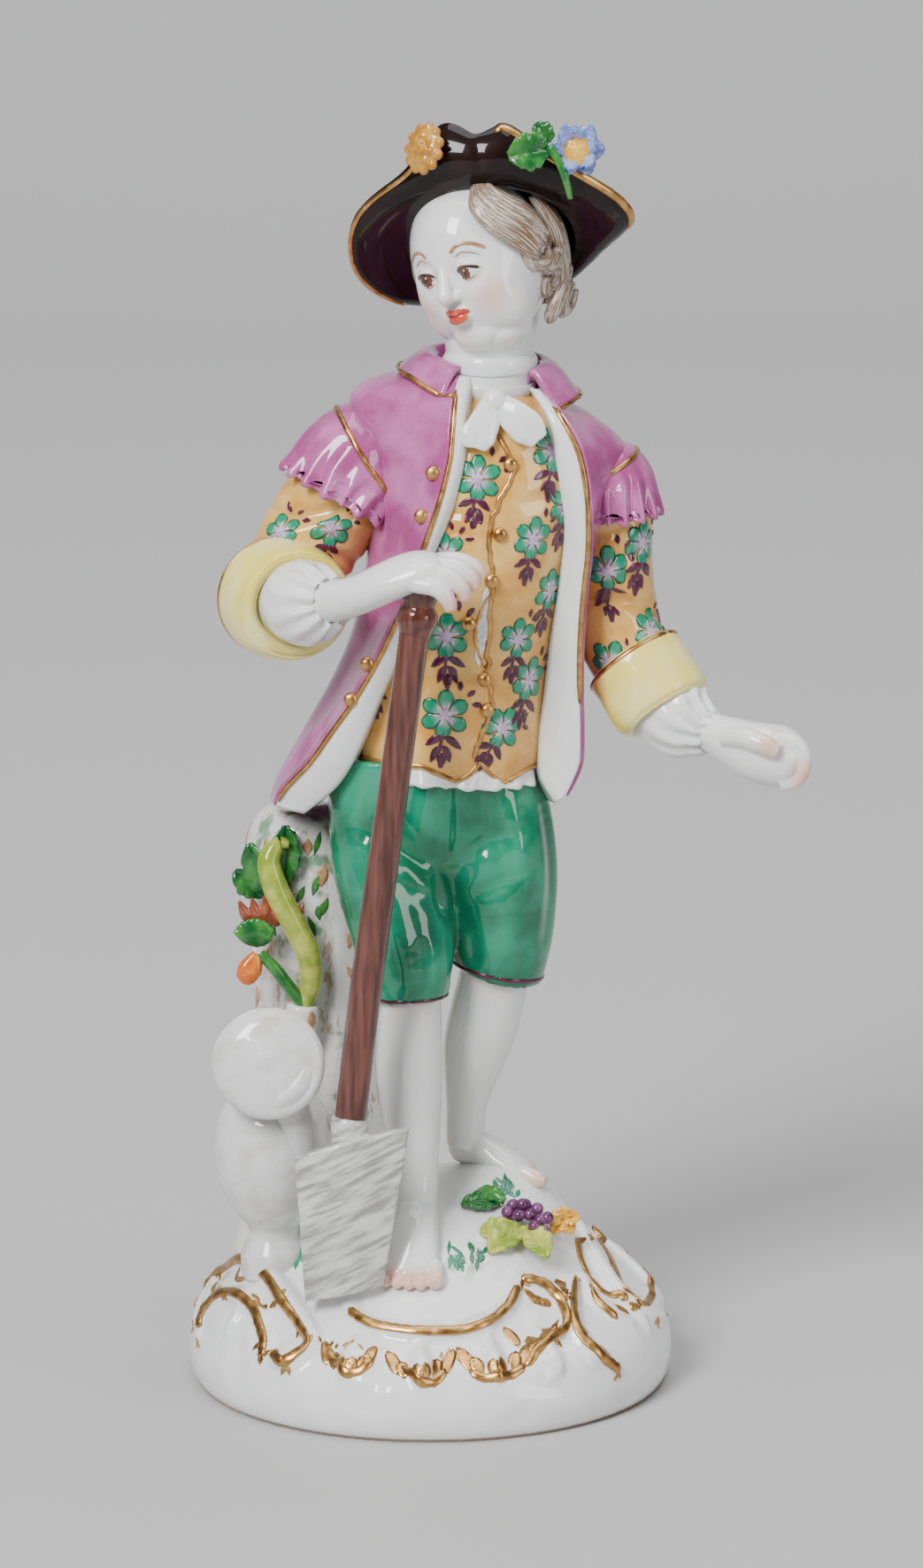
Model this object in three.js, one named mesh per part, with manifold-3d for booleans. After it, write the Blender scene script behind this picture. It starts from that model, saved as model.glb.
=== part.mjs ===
// A porcelain gardener boy, about 138 mm tall, who leans on a spade beside a watering can and a tree stump.
// Each mesh is one press-moulded or hand-formed piece, as it is before the pieces are luted together with slip.
// Frame: +Z up, origin in the middle of the mound's flat underside, the boy faces -Y.
import * as THREE from "three";
import { mergeVertices } from "three/addons/utils/BufferGeometryUtils.js";
import Module from "manifold-3d";

const wasm = await Module();
wasm.setup();

// ---------------------------------------------------------------- driving dimensions, in millimetres
const luteGap = 0.32; // the line left between two pieces that are luted together
const finest = 0.05; // slivers and steps smaller than this are smoothed away
const mound = {
  radius: 26.4, // widest, a little above the table
  footRadius: 25.4, // where it stands
  height: 21, // top of the plateau
  fall: 0.0065, // share by which the top sinks for each mm towards the front
  wall: 3.6, // of the press-moulded shell
  ventRadius: 1.5, // lets the hollow breathe in the kiln
  ventOff: 9, // from the middle of the underside
};
const legLength = 23.5; // plateau to the hem of the breeches
const breechesLength = 26.5; // hem to waist
const torsoLength = 37; // waist to collar
const neckLength = 6; // collar to chin
const headHeight = 20; // chin to crown
const headHalf = 7.7; // half the head's width
const hipHalf = 11.4;
const waistHalf = 9.4;
const chestHalf = 9.9;
const shoulderSpan = 25; // between the two shoulder points
const thighRadius = 5.7;
const calfRadius = 3.8;
const armRadius = 4.1; // of a sleeve
const wristRadius = 2.5;
const coatWall = 1.9;
const cuff = { radius: 6.2, length: 6.4, lip: 1.3 };
const spade = { shaftRadius: 2.2, bladeWidth: 12.4, bladeHeight: 18.5, bladeThickness: 1.7, socket: 3.8 };
const can = { radius: 6.2, height: 15, footRadius: 4.3, roseRadius: 6, roseThickness: 2.2, spoutRadius: 1.7 };
const stumpRadius = 7.4;
const buttonRadius = 0.75;
const hat = { foldRadius: 9.5, brimRadius: 15.4, frontRise: 6.2, wall: 1.6, crownHeight: 8.5, lean: 0.87 };

// ---------------------------------------------------------------- heights and joints that follow from them
const hemZ = mound.height + legLength;
const waistZ = hemZ + breechesLength;
const collarZ = waistZ + torsoLength;
const chinZ = collarZ + neckLength;
const headZ = chinZ + headHeight / 2;

const at = (x, y, z) => new THREE.Vector3(x, y, z);
const mix = (a, b, share) => a + (b - a) * share;
const hips = at(0.8, 0.4, waistZ);
const neckBase = at(6.3, -0.4, collarZ);
const headCentre = at(5.7, -0.6, headZ);
const gaze = at(-0.55, -0.83, 0); // the head is turned towards the spade
const shoulderRight = at(neckBase.x - shoulderSpan / 2, 0.8, collarZ - 4.6);
const shoulderLeft = at(neckBase.x + shoulderSpan / 2, 2, collarZ - 7.4);
const elbowRight = at(shoulderRight.x - 11.8, 0.6, shoulderRight.z - 14.4);
const wristRight = at(elbowRight.x + 8.8, -16, elbowRight.z + 0.4);
const knucklesRight = at(wristRight.x + 8.4, wristRight.y - 2, wristRight.z + 3.4);
const elbowLeft = at(shoulderLeft.x + 2.6, 3.2, shoulderLeft.z - 16.6);
const wristLeft = at(elbowLeft.x + 8.6, -4.8, elbowLeft.z - 11.6);
const knucklesLeft = at(wristLeft.x + 8.6, wristLeft.y - 2.4, wristLeft.z - 1.6);

// ---------------------------------------------------------------- the mound's outline, which everything stands on
const plateau = mound.height;
const moundOutline = [
  [0, plateau],
  [mound.radius * 0.23, plateau * 0.985],
  [mound.radius * 0.41, plateau * 0.925],
  [mound.radius * 0.57, plateau * 0.785],
  [mound.radius * 0.72, plateau * 0.625],
  [mound.radius * 0.87, plateau * 0.485],
  [mound.radius * 0.96, plateau * 0.36],
  [mound.radius, plateau * 0.2],
  [mound.radius * 0.992, plateau * 0.07],
  [mound.footRadius, 0],
];

function groundAt(x, y) {
  const r = Math.hypot(x, y);
  const next = Math.max(1, moundOutline.findIndex((p) => p[0] >= r));
  const [r0, z0] = moundOutline[next - 1];
  const [r1, z1] = moundOutline[next];
  return mix(z0, z1, (r - r0) / (r1 - r0)) * (1 + mound.fall * y);
}

// ---------------------------------------------------------------- shapes
// A round-ended body through oval sections. Each section is [x, y, z, half width, half depth].
function limb(sections, { sides = 8, rows = 6, front = at(0, -1, 0) } = {}) {
  const path = new THREE.CatmullRomCurve3(sections.map((s) => at(s[0], s[1], s[2])), false, "centripetal");
  const geometry = new THREE.CylinderGeometry(1, 1, 1, sides, rows);
  const position = geometry.getAttribute("position");
  for (let i = 0; i < position.count; i++) {
    const share = position.getY(i) + 0.5;
    const centre = path.getPoint(share);
    const along = path.getTangent(share);
    const side = new THREE.Vector3().crossVectors(along, front).normalize();
    const ahead = new THREE.Vector3().crossVectors(side, along).normalize();
    const between = share * (sections.length - 1);
    const first = Math.min(sections.length - 2, Math.floor(between));
    const width = mix(sections[first][3], sections[first + 1][3], between - first);
    const depth = mix(sections[first][4], sections[first + 1][4], between - first);
    centre.addScaledVector(side, -position.getX(i) * width).addScaledVector(ahead, position.getZ(i) * depth);
    position.setXYZ(i, centre.x, centre.y, centre.z);
  }
  return geometry;
}

// The same with one radius for both ways.
const tube = (sections, options) => limb(sections.map((s) => [s[0], s[1], s[2], s[3], s[3]]), options);

function ball(centre, rx, ry = rx, rz = rx, sides = 8) {
  return new THREE.SphereGeometry(1, sides, Math.max(6, Math.round(sides / 2))).scale(rx, ry, rz).translate(...centre);
}

// A turned piece: [radius, height] pairs from the axis or in a closed loop, stood up on Z.
function turned(outline, sides = 14) {
  return new THREE.LatheGeometry(outline.map(([r, z]) => new THREE.Vector2(r, z)), sides).rotateX(Math.PI / 2);
}

// A flat slab of an outline drawn in X and Z, running from y0 back to y1.
function slab(outline, y0, y1) {
  const shape = new THREE.Shape(outline.map(([x, z]) => new THREE.Vector2(x, z)));
  const geometry = new THREE.ExtrudeGeometry(shape, { depth: y1 - y0, bevelEnabled: false, curveSegments: 6 });
  return geometry.rotateX(Math.PI / 2).translate(0, y1, 0);
}

// An oval leaf or petal of some thickness, drawn around the origin, tip towards +Y.
function petal(length, width, thickness) {
  const shape = new THREE.Shape();
  shape.moveTo(0, -length / 2);
  shape.quadraticCurveTo(width * 0.95, 0, 0, length / 2);
  shape.quadraticCurveTo(-width * 0.95, 0, 0, -length / 2);
  return new THREE.ExtrudeGeometry(shape, { depth: thickness, bevelEnabled: false, curveSegments: 6 });
}

// Turns and moves a geometry: three angles in radians, then a place.
function placed(geometry, [ax, ay, az], place) {
  return geometry.applyMatrix4(new THREE.Matrix4().makeRotationFromEuler(new THREE.Euler(ax, ay, az, "ZYX")))
    .translate(...place);
}

// ---------------------------------------------------------------- joining and cutting
function solidOf(geometry) {
  const bare = geometry.clone();
  bare.deleteAttribute("normal");
  bare.deleteAttribute("uv");
  const merged = mergeVertices(bare, 1e-3);
  const triVerts = new Uint32Array(merged.index.array);
  const vertProperties = new Float32Array(merged.attributes.position.array);
  const solid = new wasm.Manifold(new wasm.Mesh({ numProp: 3, vertProperties, triVerts }));
  if (solid.volume() > 0) return solid;
  for (let i = 0; i < triVerts.length; i += 3) [triVerts[i + 1], triVerts[i + 2]] = [triVerts[i + 2], triVerts[i + 1]];
  return new wasm.Manifold(new wasm.Mesh({ numProp: 3, vertProperties, triVerts }));
}

function geometryOf(solid) {
  const mesh = solid.getMesh();
  const geometry = new THREE.BufferGeometry();
  const points = new Float32Array(mesh.numVert * 3);
  for (let i = 0; i < mesh.numVert; i++) {
    points.set(mesh.vertProperties.subarray(i * mesh.numProp, i * mesh.numProp + 3), i * 3);
  }
  geometry.setAttribute("position", new THREE.BufferAttribute(points, 3));
  geometry.setIndex(new THREE.BufferAttribute(new Uint32Array(mesh.triVerts), 1));
  return geometry;
}

const joined = (...geometries) => geometries.map(solidOf).reduce((a, b) => a.add(b));

// The same solid with every face moved out by the luting gap: corners go further, so the faces beside them keep it.
function grown(solid) {
  const geometry = geometryOf(solid);
  geometry.computeVertexNormals();
  const position = geometry.getAttribute("position");
  const normal = geometry.getAttribute("normal");
  const facing = new Array(position.count).fill(1);
  const corner = (k) => new THREE.Vector3().fromBufferAttribute(position, k);
  const out = (k) => new THREE.Vector3().fromBufferAttribute(normal, k);
  for (let i = 0; i < geometry.index.count; i += 3) {
    const ids = [0, 1, 2].map((k) => geometry.index.getX(i + k));
    const face = new THREE.Triangle(...ids.map(corner)).getNormal(at(0, 0, 0));
    for (const k of ids) facing[k] = Math.min(facing[k], Math.max(0.5, face.dot(out(k))));
  }
  const moved = facing.map((share, k) => corner(k).addScaledVector(out(k), luteGap / share));
  moved.forEach((point, k) => position.setXYZ(k, ...point));
  return solidOf(geometry).add(solid);
}

const largest = (solid) => solid.decompose().reduce((a, b) => (b.volume() > a.volume() ? b : a));

function boxesMeet(a, b) {
  const [p, q] = [a.boundingBox(), b.boundingBox()];
  return [0, 1, 2].every((k) => p.min[k] < q.max[k] && q.min[k] < p.max[k]);
}

// ---------------------------------------------------------------- the assembly
const finishes = {
  porcelain: { color: 0xf2f1ee, roughness: 0.12 },
  flesh: { color: 0xf3e6df, roughness: 0.12 },
  mauve: { color: 0xb86fa0, roughness: 0.14 },
  straw: { color: 0xe6c07c, roughness: 0.14 },
  lemon: { color: 0xe9e2a0, roughness: 0.14 },
  green: { color: 0x2f9a72, roughness: 0.14 },
  leafGreen: { color: 0x3c7a34, roughness: 0.16 },
  black: { color: 0x120b0c, roughness: 0.08 },
  brown: { color: 0x7a4a40, roughness: 0.18 },
  hair: { color: 0xb39a86, roughness: 0.2 },
  ochre: { color: 0xd09a4a, roughness: 0.2 },
  blue: { color: 0x7d94c4, roughness: 0.16 },
  purple: { color: 0x5a2a55, roughness: 0.16 },
  gold: { color: 0xc08a3c, roughness: 0.3, metalness: 0.9 },
};
const figurine = new THREE.Group();
const earlier = []; // pieces already in place, which every later piece is cut back from

function piece(name, finish, shape) {
  const raw = shape.isBufferGeometry ? solidOf(shape) : shape;
  const cut = earlier.filter((e) => boxesMeet(e, raw)).reduce((solid, e) => solid.subtract(e), raw);
  if (cut.isEmpty()) throw new Error(name + " lies wholly inside its neighbours");
  earlier.push(grown(raw));
  const body = largest(solidOf(geometryOf(largest(cut).simplify(finest))));
  const mesh = new THREE.Mesh(geometryOf(body), new THREE.MeshStandardMaterial(finishes[finish]));
  mesh.name = name;
  figurine.add(mesh);
}

// ---------------------------------------------------------------- mound: a hollow shell with a vent
function base() {
  const shell = turned([...moundOutline, [0, 0]], 24);
  const roof = moundOutline.slice(0, 7).map(([r, z]) => [r * 0.86, Math.max(mound.wall * 2, z - mound.wall)]);
  const hollow = turned([...roof, [roof.at(-1)[0] - 1, mound.wall], [0, mound.wall]], 16);
  const vent = turned([[0, mound.wall * 1.5], [mound.ventRadius, mound.wall * 1.5], [mound.ventRadius, -1], [0, -1]], 12);
  for (const geometry of [shell, hollow]) {
    const position = geometry.getAttribute("position");
    for (let i = 0; i < position.count; i++) {
      position.setZ(i, position.getZ(i) * (1 + mound.fall * position.getY(i)));
    }
  }
  return solidOf(shell).subtract(solidOf(hollow)).subtract(solidOf(vent.translate(mound.ventOff, 0, 0)));
}

// A rococo scroll that lies on the mound's shoulder: a C of radius `size`, opening upwards, at a bearing in degrees.
function scroll(bearing, size, turn) {
  const lift = 0.35; // how far its centreline stands out of the mound
  const reach = mound.radius * 0.83;
  const points = [];
  for (let k = 0; k <= 6; k++) {
    const angle = turn + Math.PI * (0.15 - 1.3 * (k / 6));
    const around = THREE.MathUtils.degToRad(bearing) + (size * Math.cos(angle)) / reach;
    const radius = reach - size * 0.55 * Math.sin(angle);
    const [x, y] = [radius * Math.sin(around), -radius * Math.cos(around)];
    points.push([x, y, groundAt(x, y) + lift, k === 0 || k === 6 ? 0.7 : 1.25]);
  }
  return tube(points, { sides: 5, rows: 8, front: at(0, 0.01, 1) });
}

piece("mound_base", "porcelain", base());
[[-38, 6, 0.2], [2, 8, 0], [44, 6.5, -0.3], [92, 6, 0], [140, 7, 0], [188, 7, 0], [236, 7, 0], [284, 6, 0]].forEach(
  ([bearing, size, turn], k) => piece(`scroll_${k + 1}`, "gold", scroll(bearing, size, turn)),
);

// ---------------------------------------------------------------- spade, planted beside the front foot
const bladeFoot = at(-9.6, -14.6, groundAt(-9.6, -14.6) + luteGap);
const gripTop = at(knucklesRight.x - 0.6, knucklesRight.y + 1.4, knucklesRight.z - 3);
const shaftWay = gripTop.clone().sub(bladeFoot).normalize();
const bladeTop = bladeFoot.clone().addScaledVector(shaftWay, spade.bladeHeight);
const bladeTurn = 0.3; // the blade's right edge stands further back

function blade() {
  const [w, h] = [spade.bladeWidth / 2, spade.bladeHeight];
  const sheet = slab([[-w, 0], [w * 0.86, 0], [w, h], [-w, h]], -spade.bladeThickness / 2, spade.bladeThickness / 2);
  const socketLength = spade.socket * 1.7;
  const socket = turned([[0, -2.5], [spade.socket * 0.3, -2.5], [spade.socket * 0.7, 0.4],
    [spade.shaftRadius + 0.5, socketLength], [0, socketLength]], 12);
  const lean = new THREE.Euler(Math.asin(-shaftWay.y), Math.asin(shaftWay.x), bladeTurn, "XYZ");
  const turn = new THREE.Matrix4().makeRotationFromEuler(lean);
  return joined(
    sheet.applyMatrix4(turn).translate(...bladeFoot),
    socket.applyMatrix4(turn).translate(...bladeTop),
  );
}

const shaftStart = bladeTop.clone().addScaledVector(shaftWay, spade.socket * 1.7 + luteGap);
piece("spade_blade", "porcelain", blade());
piece("spade_shaft", "brown", tube([
  [...shaftStart, spade.shaftRadius],
  [...shaftStart.clone().lerp(gripTop, 0.5), spade.shaftRadius * 0.96],
  [...gripTop, spade.shaftRadius * 0.95],
], { rows: 6, sides: 14 }));

// ---------------------------------------------------------------- watering can
const canPlace = at(-16.6, -7.6, groundAt(-16.6, -7.6) + luteGap);
const footHeight = 2.4;
const canBelly = canPlace.clone().add(at(0, 0, footHeight + luteGap));
piece("can_foot", "porcelain", turned([[0, -2.4], [can.footRadius, -2.4], [can.footRadius, footHeight * 0.35],
  [can.footRadius * 0.78, footHeight * 0.6], [can.footRadius * 0.86, footHeight], [0, footHeight]]).translate(...canPlace));
piece("can_body", "porcelain", turned([[0, 0], [can.footRadius * 0.86, 0], [can.radius * 0.9, can.height * 0.2],
  [can.radius, can.height * 0.42], [can.radius * 0.9, can.height * 0.66], [can.radius * 0.55, can.height * 0.88],
  [can.radius * 0.4, can.height], [0, can.height]]).translate(...canBelly));
const rosePlace = canBelly.clone().add(at(0, -can.radius - 0.6, can.height + 3.4));
piece("can_rose", "porcelain", placed(turned([[0, 0], [can.roseRadius * 0.4, 0], [can.roseRadius, can.roseThickness * 0.7],
  [can.roseRadius * 0.96, can.roseThickness], [0, can.roseThickness]]), [1.35, 0, 0.1], rosePlace));
piece("can_spout", "porcelain", tube([
  [canBelly.x, canBelly.y - can.radius * 0.6, canBelly.z + can.height * 0.55, can.spoutRadius * 1.3],
  [canBelly.x, canBelly.y - can.radius * 0.9, canBelly.z + can.height * 0.85, can.spoutRadius],
  [rosePlace.x, rosePlace.y + 0.6, rosePlace.z, can.spoutRadius],
], { rows: 5, sides: 10, front: at(0, -1, 0.01) }));
piece("can_handle", "porcelain", tube([
  [canBelly.x + can.radius * 0.7, canBelly.y, canBelly.z + can.height * 0.3, 1],
  [canBelly.x + can.radius * 1.15, canBelly.y - 1, canBelly.z + can.height * 0.62, 1],
  [canBelly.x + can.radius * 0.9, canBelly.y - 1, canBelly.z + can.height * 0.92, 1],
  [canBelly.x + can.radius * 0.2, canBelly.y, canBelly.z + can.height * 0.96, 1],
], { rows: 8, sides: 8 }));

// ---------------------------------------------------------------- bare legs and feet
const footRight = at(-2.1, -15.8, groundAt(-2.1, -15.4));
const heelRight = at(-1.5, -6.8, groundAt(-1.5, -9));
const footLeft = at(12.4, 3, groundAt(11.4, 3));
const heelLeft = at(2.6, 6.8, groundAt(2.6, 6.8));

function leg(knee, calf, ankle, heel, toes) {
  const instep = heel.clone().lerp(toes, 0.5);
  return joined(
    limb([[...knee, calfRadius, calfRadius], [...calf, calfRadius, calfRadius * 1.04],
      [...calf.clone().lerp(ankle, 0.6), calfRadius * 0.8, calfRadius * 0.8],
      [...ankle, calfRadius * 0.7, calfRadius * 0.74], [heel.x, heel.y - 0.6, heel.z + 1.6, 2.2, 2.2]]),
    limb([[heel.x, heel.y + 0.8, heel.z + 2.2, 1.6, 1.6], [...heel.clone().add(at(0, 0, 2.2)), 2.5, 2.2],
      [...instep.clone().add(at(0, 0, 2.4)), 2.9, 2.2], [toes.x, toes.y, toes.z + 1.5, 3.3, 1.3]],
      { front: at(0, 0, 1) }),
  );
}

piece("leg_right", "flesh", leg(at(-2.3, -5.6, hemZ + 3), at(-2.1, -6.4, hemZ - 8), at(-1.5, -7.8, heelRight.z + 5.4),
  heelRight, footRight));
piece("leg_left", "flesh", leg(at(7, 1.2, hemZ + 3), at(5.6, 3, hemZ - 7), at(3.3, 5.8, heelLeft.z + 5.4),
  heelLeft, footLeft));

// ---------------------------------------------------------------- breeches, shirt tail and waistcoat
piece("breeches", "green", joined(
  limb([[hips.x + 0.9, 0.2, waistZ + 1, waistHalf * 0.98, waistHalf * 0.76],
    [hips.x, 0.6, waistZ - breechesLength * 0.28, hipHalf, hipHalf * 0.74],
    [hips.x - 0.1, 0.4, waistZ - breechesLength * 0.55, hipHalf * 0.98, hipHalf * 0.7],
    [hips.x + 0.6, 0, waistZ - breechesLength * 0.68, hipHalf * 0.7, hipHalf * 0.5]], { sides: 12 }),
  limb([[-4.2, -1.4, mix(hemZ, waistZ, 0.66), thighRadius * 1.1, thighRadius * 1.1],
    [-3.8, -4.2, mix(hemZ, waistZ, 0.34), thighRadius, thighRadius],
    [-2.6, -5.9, mix(hemZ, waistZ, 0.1), thighRadius * 0.83, thighRadius * 0.85],
    [-2.3, -6.2, hemZ - 0.4, thighRadius * 0.74, thighRadius * 0.76]]),
  limb([[6.2, -0.8, mix(hemZ, waistZ, 0.66), thighRadius * 1.1, thighRadius * 1.1],
    [7.6, -1.2, mix(hemZ, waistZ, 0.3), thighRadius, thighRadius],
    [7.5, 0.2, mix(hemZ, waistZ, 0.1), thighRadius * 0.9, thighRadius * 0.92],
    [7.2, 0.9, hemZ + 0.4, thighRadius * 0.82, thighRadius * 0.84]]),
));
piece("shirt_tail", "porcelain", limb([[hips.x + 0.6, 0.2, waistZ - 3.2, waistHalf * 1.2, waistHalf * 0.97],
  [hips.x + 1, 0, waistZ - 1.4, waistHalf * 1.06, waistHalf * 0.88],
  [hips.x + 1.2, 0, waistZ + 1, waistHalf * 0.94, waistHalf * 0.78]], { rows: 3, sides: 12 }));

const torso = [
  [hips.x + 1.2, -0.4, waistZ - 1.6, waistHalf * 1.17, waistHalf * 0.96],
  [hips.x + 1.8, -0.6, mix(waistZ, collarZ, 0.12), waistHalf, waistHalf * 0.84],
  [mix(hips.x, neckBase.x, 0.52), -0.8, mix(waistZ, collarZ, 0.36), waistHalf, waistHalf * 0.84],
  [mix(hips.x, neckBase.x, 0.84), -0.6, mix(waistZ, collarZ, 0.66), chestHalf, chestHalf * 0.76],
  [neckBase.x, 0, mix(waistZ, collarZ, 0.87), chestHalf * 0.94, chestHalf * 0.6],
  [neckBase.x, 0, collarZ - 0.6, chestHalf * 0.52, chestHalf * 0.44],
];

// The waistcoat's buttons are moulded with it: small domes down its front edge.
const buttons = [0.05, 0.17, 0.36, 0.54, 0.68, 0.86].map((share) => {
  const z = mix(waistZ, collarZ, share);
  const row = torso.findIndex((section) => section[2] > z) - 1;
  const along = (z - torso[row][2]) / (torso[row + 1][2] - torso[row][2]);
  const frontY = mix(torso[row][1] - torso[row][4], torso[row + 1][1] - torso[row + 1][4], along);
  return ball([mix(hips.x + 5.2, neckBase.x + 0.6, share), frontY - 0.1, z], buttonRadius, buttonRadius, buttonRadius, 6);
});
piece("waistcoat", "straw", joined(limb(torso, { sides: 14, rows: 8 }), ...buttons));

// ---------------------------------------------------------------- head, neckcloth and hair
const earPlace = headCentre.clone().add(at(headHalf * 0.9, 0.6, -2.6));
piece("head", "flesh", joined(
  ball(headCentre, headHalf, headHalf * 1.08, headHeight / 2, 14),
  ball(headCentre.clone().addScaledVector(gaze, headHalf * 0.2).add(at(0, 0, -3.4)), headHalf * 0.88, headHalf * 0.86, 6, 10),
  ball(headCentre.clone().addScaledVector(gaze, headHalf * 1.02).add(at(0, 0, -1.8)), 1.1, 1.1, 1.7, 8),
  ball(headCentre.clone().addScaledVector(gaze, headHalf * 0.62).add(at(0, 0, -headHeight * 0.36)), 3, 2.6, 2.4, 10),
  ball(earPlace, 1.1, 1.6, 2.2, 8),
  limb([[neckBase.x, 0.4, collarZ - 2, 4.9, 4.7], [neckBase.x, 0, collarZ + 2, 4.7, 4.5],
    [headCentre.x + 0.6, 0, chinZ + 4, 5, 5]], { rows: 3 }),
));
const clothHeight = neckLength * 0.8;
piece("neckcloth", "porcelain", limb([[neckBase.x, -0.6, collarZ - 1.2, 5.6, 5.7],
  [neckBase.x, -0.7, collarZ - 1 + clothHeight / 2, 5.4, 5.5],
  [neckBase.x - 0.2, -0.5, collarZ - 1 + clothHeight, 5, 5.1]], { rows: 3, sides: 16 }));
[["right", -1, 3.2], ["left", 1, 4.2]].forEach(([side, way, length]) => {
  const knot = at(neckBase.x + 0.6, -7.4, collarZ - 0.6);
  piece(`neckcloth_end_${side}`, "porcelain", limb([
    [knot.x, knot.y + 0.2, knot.z, 0.9, 0.7],
    [knot.x + way * 1.6, knot.y - 0.6, knot.z - 2, 1.8, 0.9],
    [knot.x + way * length * 0.75, knot.y - 0.2, knot.z - 4.2, 1, 0.6],
  ], { rows: 4, sides: 10 }));
});

const hairline = headHalf * 1.2;
piece("hair_back", "hair", ball([headCentre.x + 0.6, headCentre.y + 2.8, headCentre.z - 1.4],
  hairline * 0.92, hairline, headHeight * 0.46, 12));
[["left", 1, [[1.2, 1.6, 2.2], [1.22, 2, -2], [1.08, 2.6, -6.2]]],
  ["right", -1, [[1.02, 2, 0.6], [0.98, 2.4, -3.2], [0.86, 2.8, -6.8]]]].forEach(([side, way, curls]) => {
  const rolls = curls.map(([out, back, up]) => ball(
    [headCentre.x + way * headHalf * out, headCentre.y + back, headCentre.z + up], 2, 2.7, 2.5, 7));
  piece(`curls_${side}`, "hair", joined(...rolls));
});

// ---------------------------------------------------------------- three-cornered hat
// In the hat's own frame the brim's fold lies flat, a circle around the head, and the front flap stands up.
const hatTurn = new THREE.Matrix4().makeRotationX(-hat.lean);
const hatPlace = at(headCentre.x + 1.3, headCentre.y + 1.4, headCentre.z + headHeight * 0.06);
const onHat = (geometry) => geometry.applyMatrix4(hatTurn).translate(...hatPlace);

// The brim's edge: bearing from the front in degrees, share of the brim's radius, share of the front flap's rise.
const rimStations = [[0, 0.75, 0.72], [12, 0.79, 1], [32, 0.86, 0.42], [54, 0.91, 0.08], [75, 0.95, 0], [101, 0.76, 0.66],
  [130, 0.71, 1.05], [158, 0.8, 0.7], [180, 0.95, 0.1], [203, 0.81, 0.7], [226, 0.99, 0.05], [242, 1.03, 0],
  [258, 1.03, 0], [285, 0.98, 0], [316, 0.97, 0.1], [333, 0.88, 0.7], [344, 0.82, 0.96]];
const rimCurve = new THREE.CatmullRomCurve3(rimStations.map(([bearing, reach, rise]) => {
  const angle = THREE.MathUtils.degToRad(bearing);
  const r = hat.brimRadius * reach;
  return at(r * Math.sin(angle), -r * Math.cos(angle), hat.frontRise * rise);
}), true);

// A point of the brim: `share` around the edge, `out` from the fold (0) to the edge (1), `lift` off its middle skin.
function brimPoint(share, out, lift) {
  const rim = rimCurve.getPoint(share);
  const reach = Math.hypot(rim.x, rim.y);
  const run = reach - hat.foldRadius;
  const slope = Math.atan2(rim.z * 1.3 * out ** 0.3, run);
  const r = hat.foldRadius + run * out - lift * Math.sin(slope);
  return at((r * rim.x) / reach, (r * rim.y) / reach, rim.z * out ** 1.3 + lift * Math.cos(slope));
}

function brim() {
  const half = hat.wall / 2;
  const stations = [[0, -half], [0.35, -half], [0.7, -half], [1, -half * 0.6], [1, half * 0.6], [0.7, half],
    [0.35, half], [0, half], [0, -half]];
  const sides = 28;
  const geometry = turned(stations.map(([out, lift]) => [hat.foldRadius + out * 5, lift]), sides);
  const position = geometry.getAttribute("position");
  for (let i = 0; i < position.count; i++) {
    const share = (Math.floor(i / stations.length) % sides) / sides;
    const [out, lift] = stations[i % stations.length];
    position.setXYZ(i, ...brimPoint(share, out, lift));
  }
  return onHat(geometry);
}

const crownRadius = hat.foldRadius - 1.2 * luteGap;
piece("hat_crown", "black", onHat(turned([[0, -0.6], [crownRadius, -0.6], [crownRadius * 0.97, hat.crownHeight * 0.35],
  [crownRadius * 0.8, hat.crownHeight * 0.74], [crownRadius * 0.45, hat.crownHeight * 0.95], [0, hat.crownHeight]])));
piece("hat_brim", "black", brim());

// Applied flowers stand on the outside of the front flap: at a share around the edge, and out from the fold.
const onFlap = (share, out) => brimPoint(share, out, -hat.wall).applyMatrix4(hatTurn).add(hatPlace);
piece("hat_rosette", "ochre", ball(onFlap(0.9, 0.72), 1.9, 1.6, 2.4, 10));
const flowerPlace = onFlap(0.17, 1.02);
piece("hat_flower_heart", "ochre", ball(flowerPlace.clone().add(at(0.5, -1.5, 0.4)), 1.6, 1, 1.5, 10));
const petals = [0, 1, 2, 3, 4].map((k) => {
  const angle = (k / 5) * Math.PI * 2 + 0.4;
  return ball(flowerPlace.clone().add(at(2.2 * Math.sin(angle), 0, 2.2 * Math.cos(angle))), 1.7, 0.8, 1.7, 6);
});
piece("hat_flower", "blue", joined(...petals));
piece("hat_leaf", "leafGreen", placed(petal(4.6, 4, 0.8), [1.35, 0.5, 0.3], onFlap(0.1, 0.6)));

// ---------------------------------------------------------------- arms, cuffs and hands
function sleeve(shoulder, elbow, wrist) {
  const bend = elbow.clone().lerp(wrist, 0.16);
  return limb([[...shoulder, armRadius * 1.06, armRadius * 1.1], [...shoulder.clone().lerp(elbow, 0.5), armRadius, armRadius],
    [...elbow, armRadius * 0.95, armRadius * 0.95], [...bend, armRadius * 0.9, armRadius * 0.9]],
  { sides: 10, rows: 8, front: at(0.2, -0.2, 1) });
}

// A cup turned back over the end of the sleeve, along the forearm.
function cuffShell(elbow, wrist, start) {
  const way = wrist.clone().sub(elbow).normalize();
  const r = cuff.radius;
  const shape = turned([[0, 0], [r * 0.74, 0], [r, cuff.length * 0.5], [r * 1.02, cuff.length],
    [r * 1.02 - cuff.lip, cuff.length], [r - cuff.lip, cuff.length * 0.62], [0, cuff.length * 0.5]], 16);
  const turn = new THREE.Quaternion().setFromUnitVectors(at(0, 0, 1), way);
  return shape.applyQuaternion(turn).translate(...elbow.clone().lerp(wrist, start));
}

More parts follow.
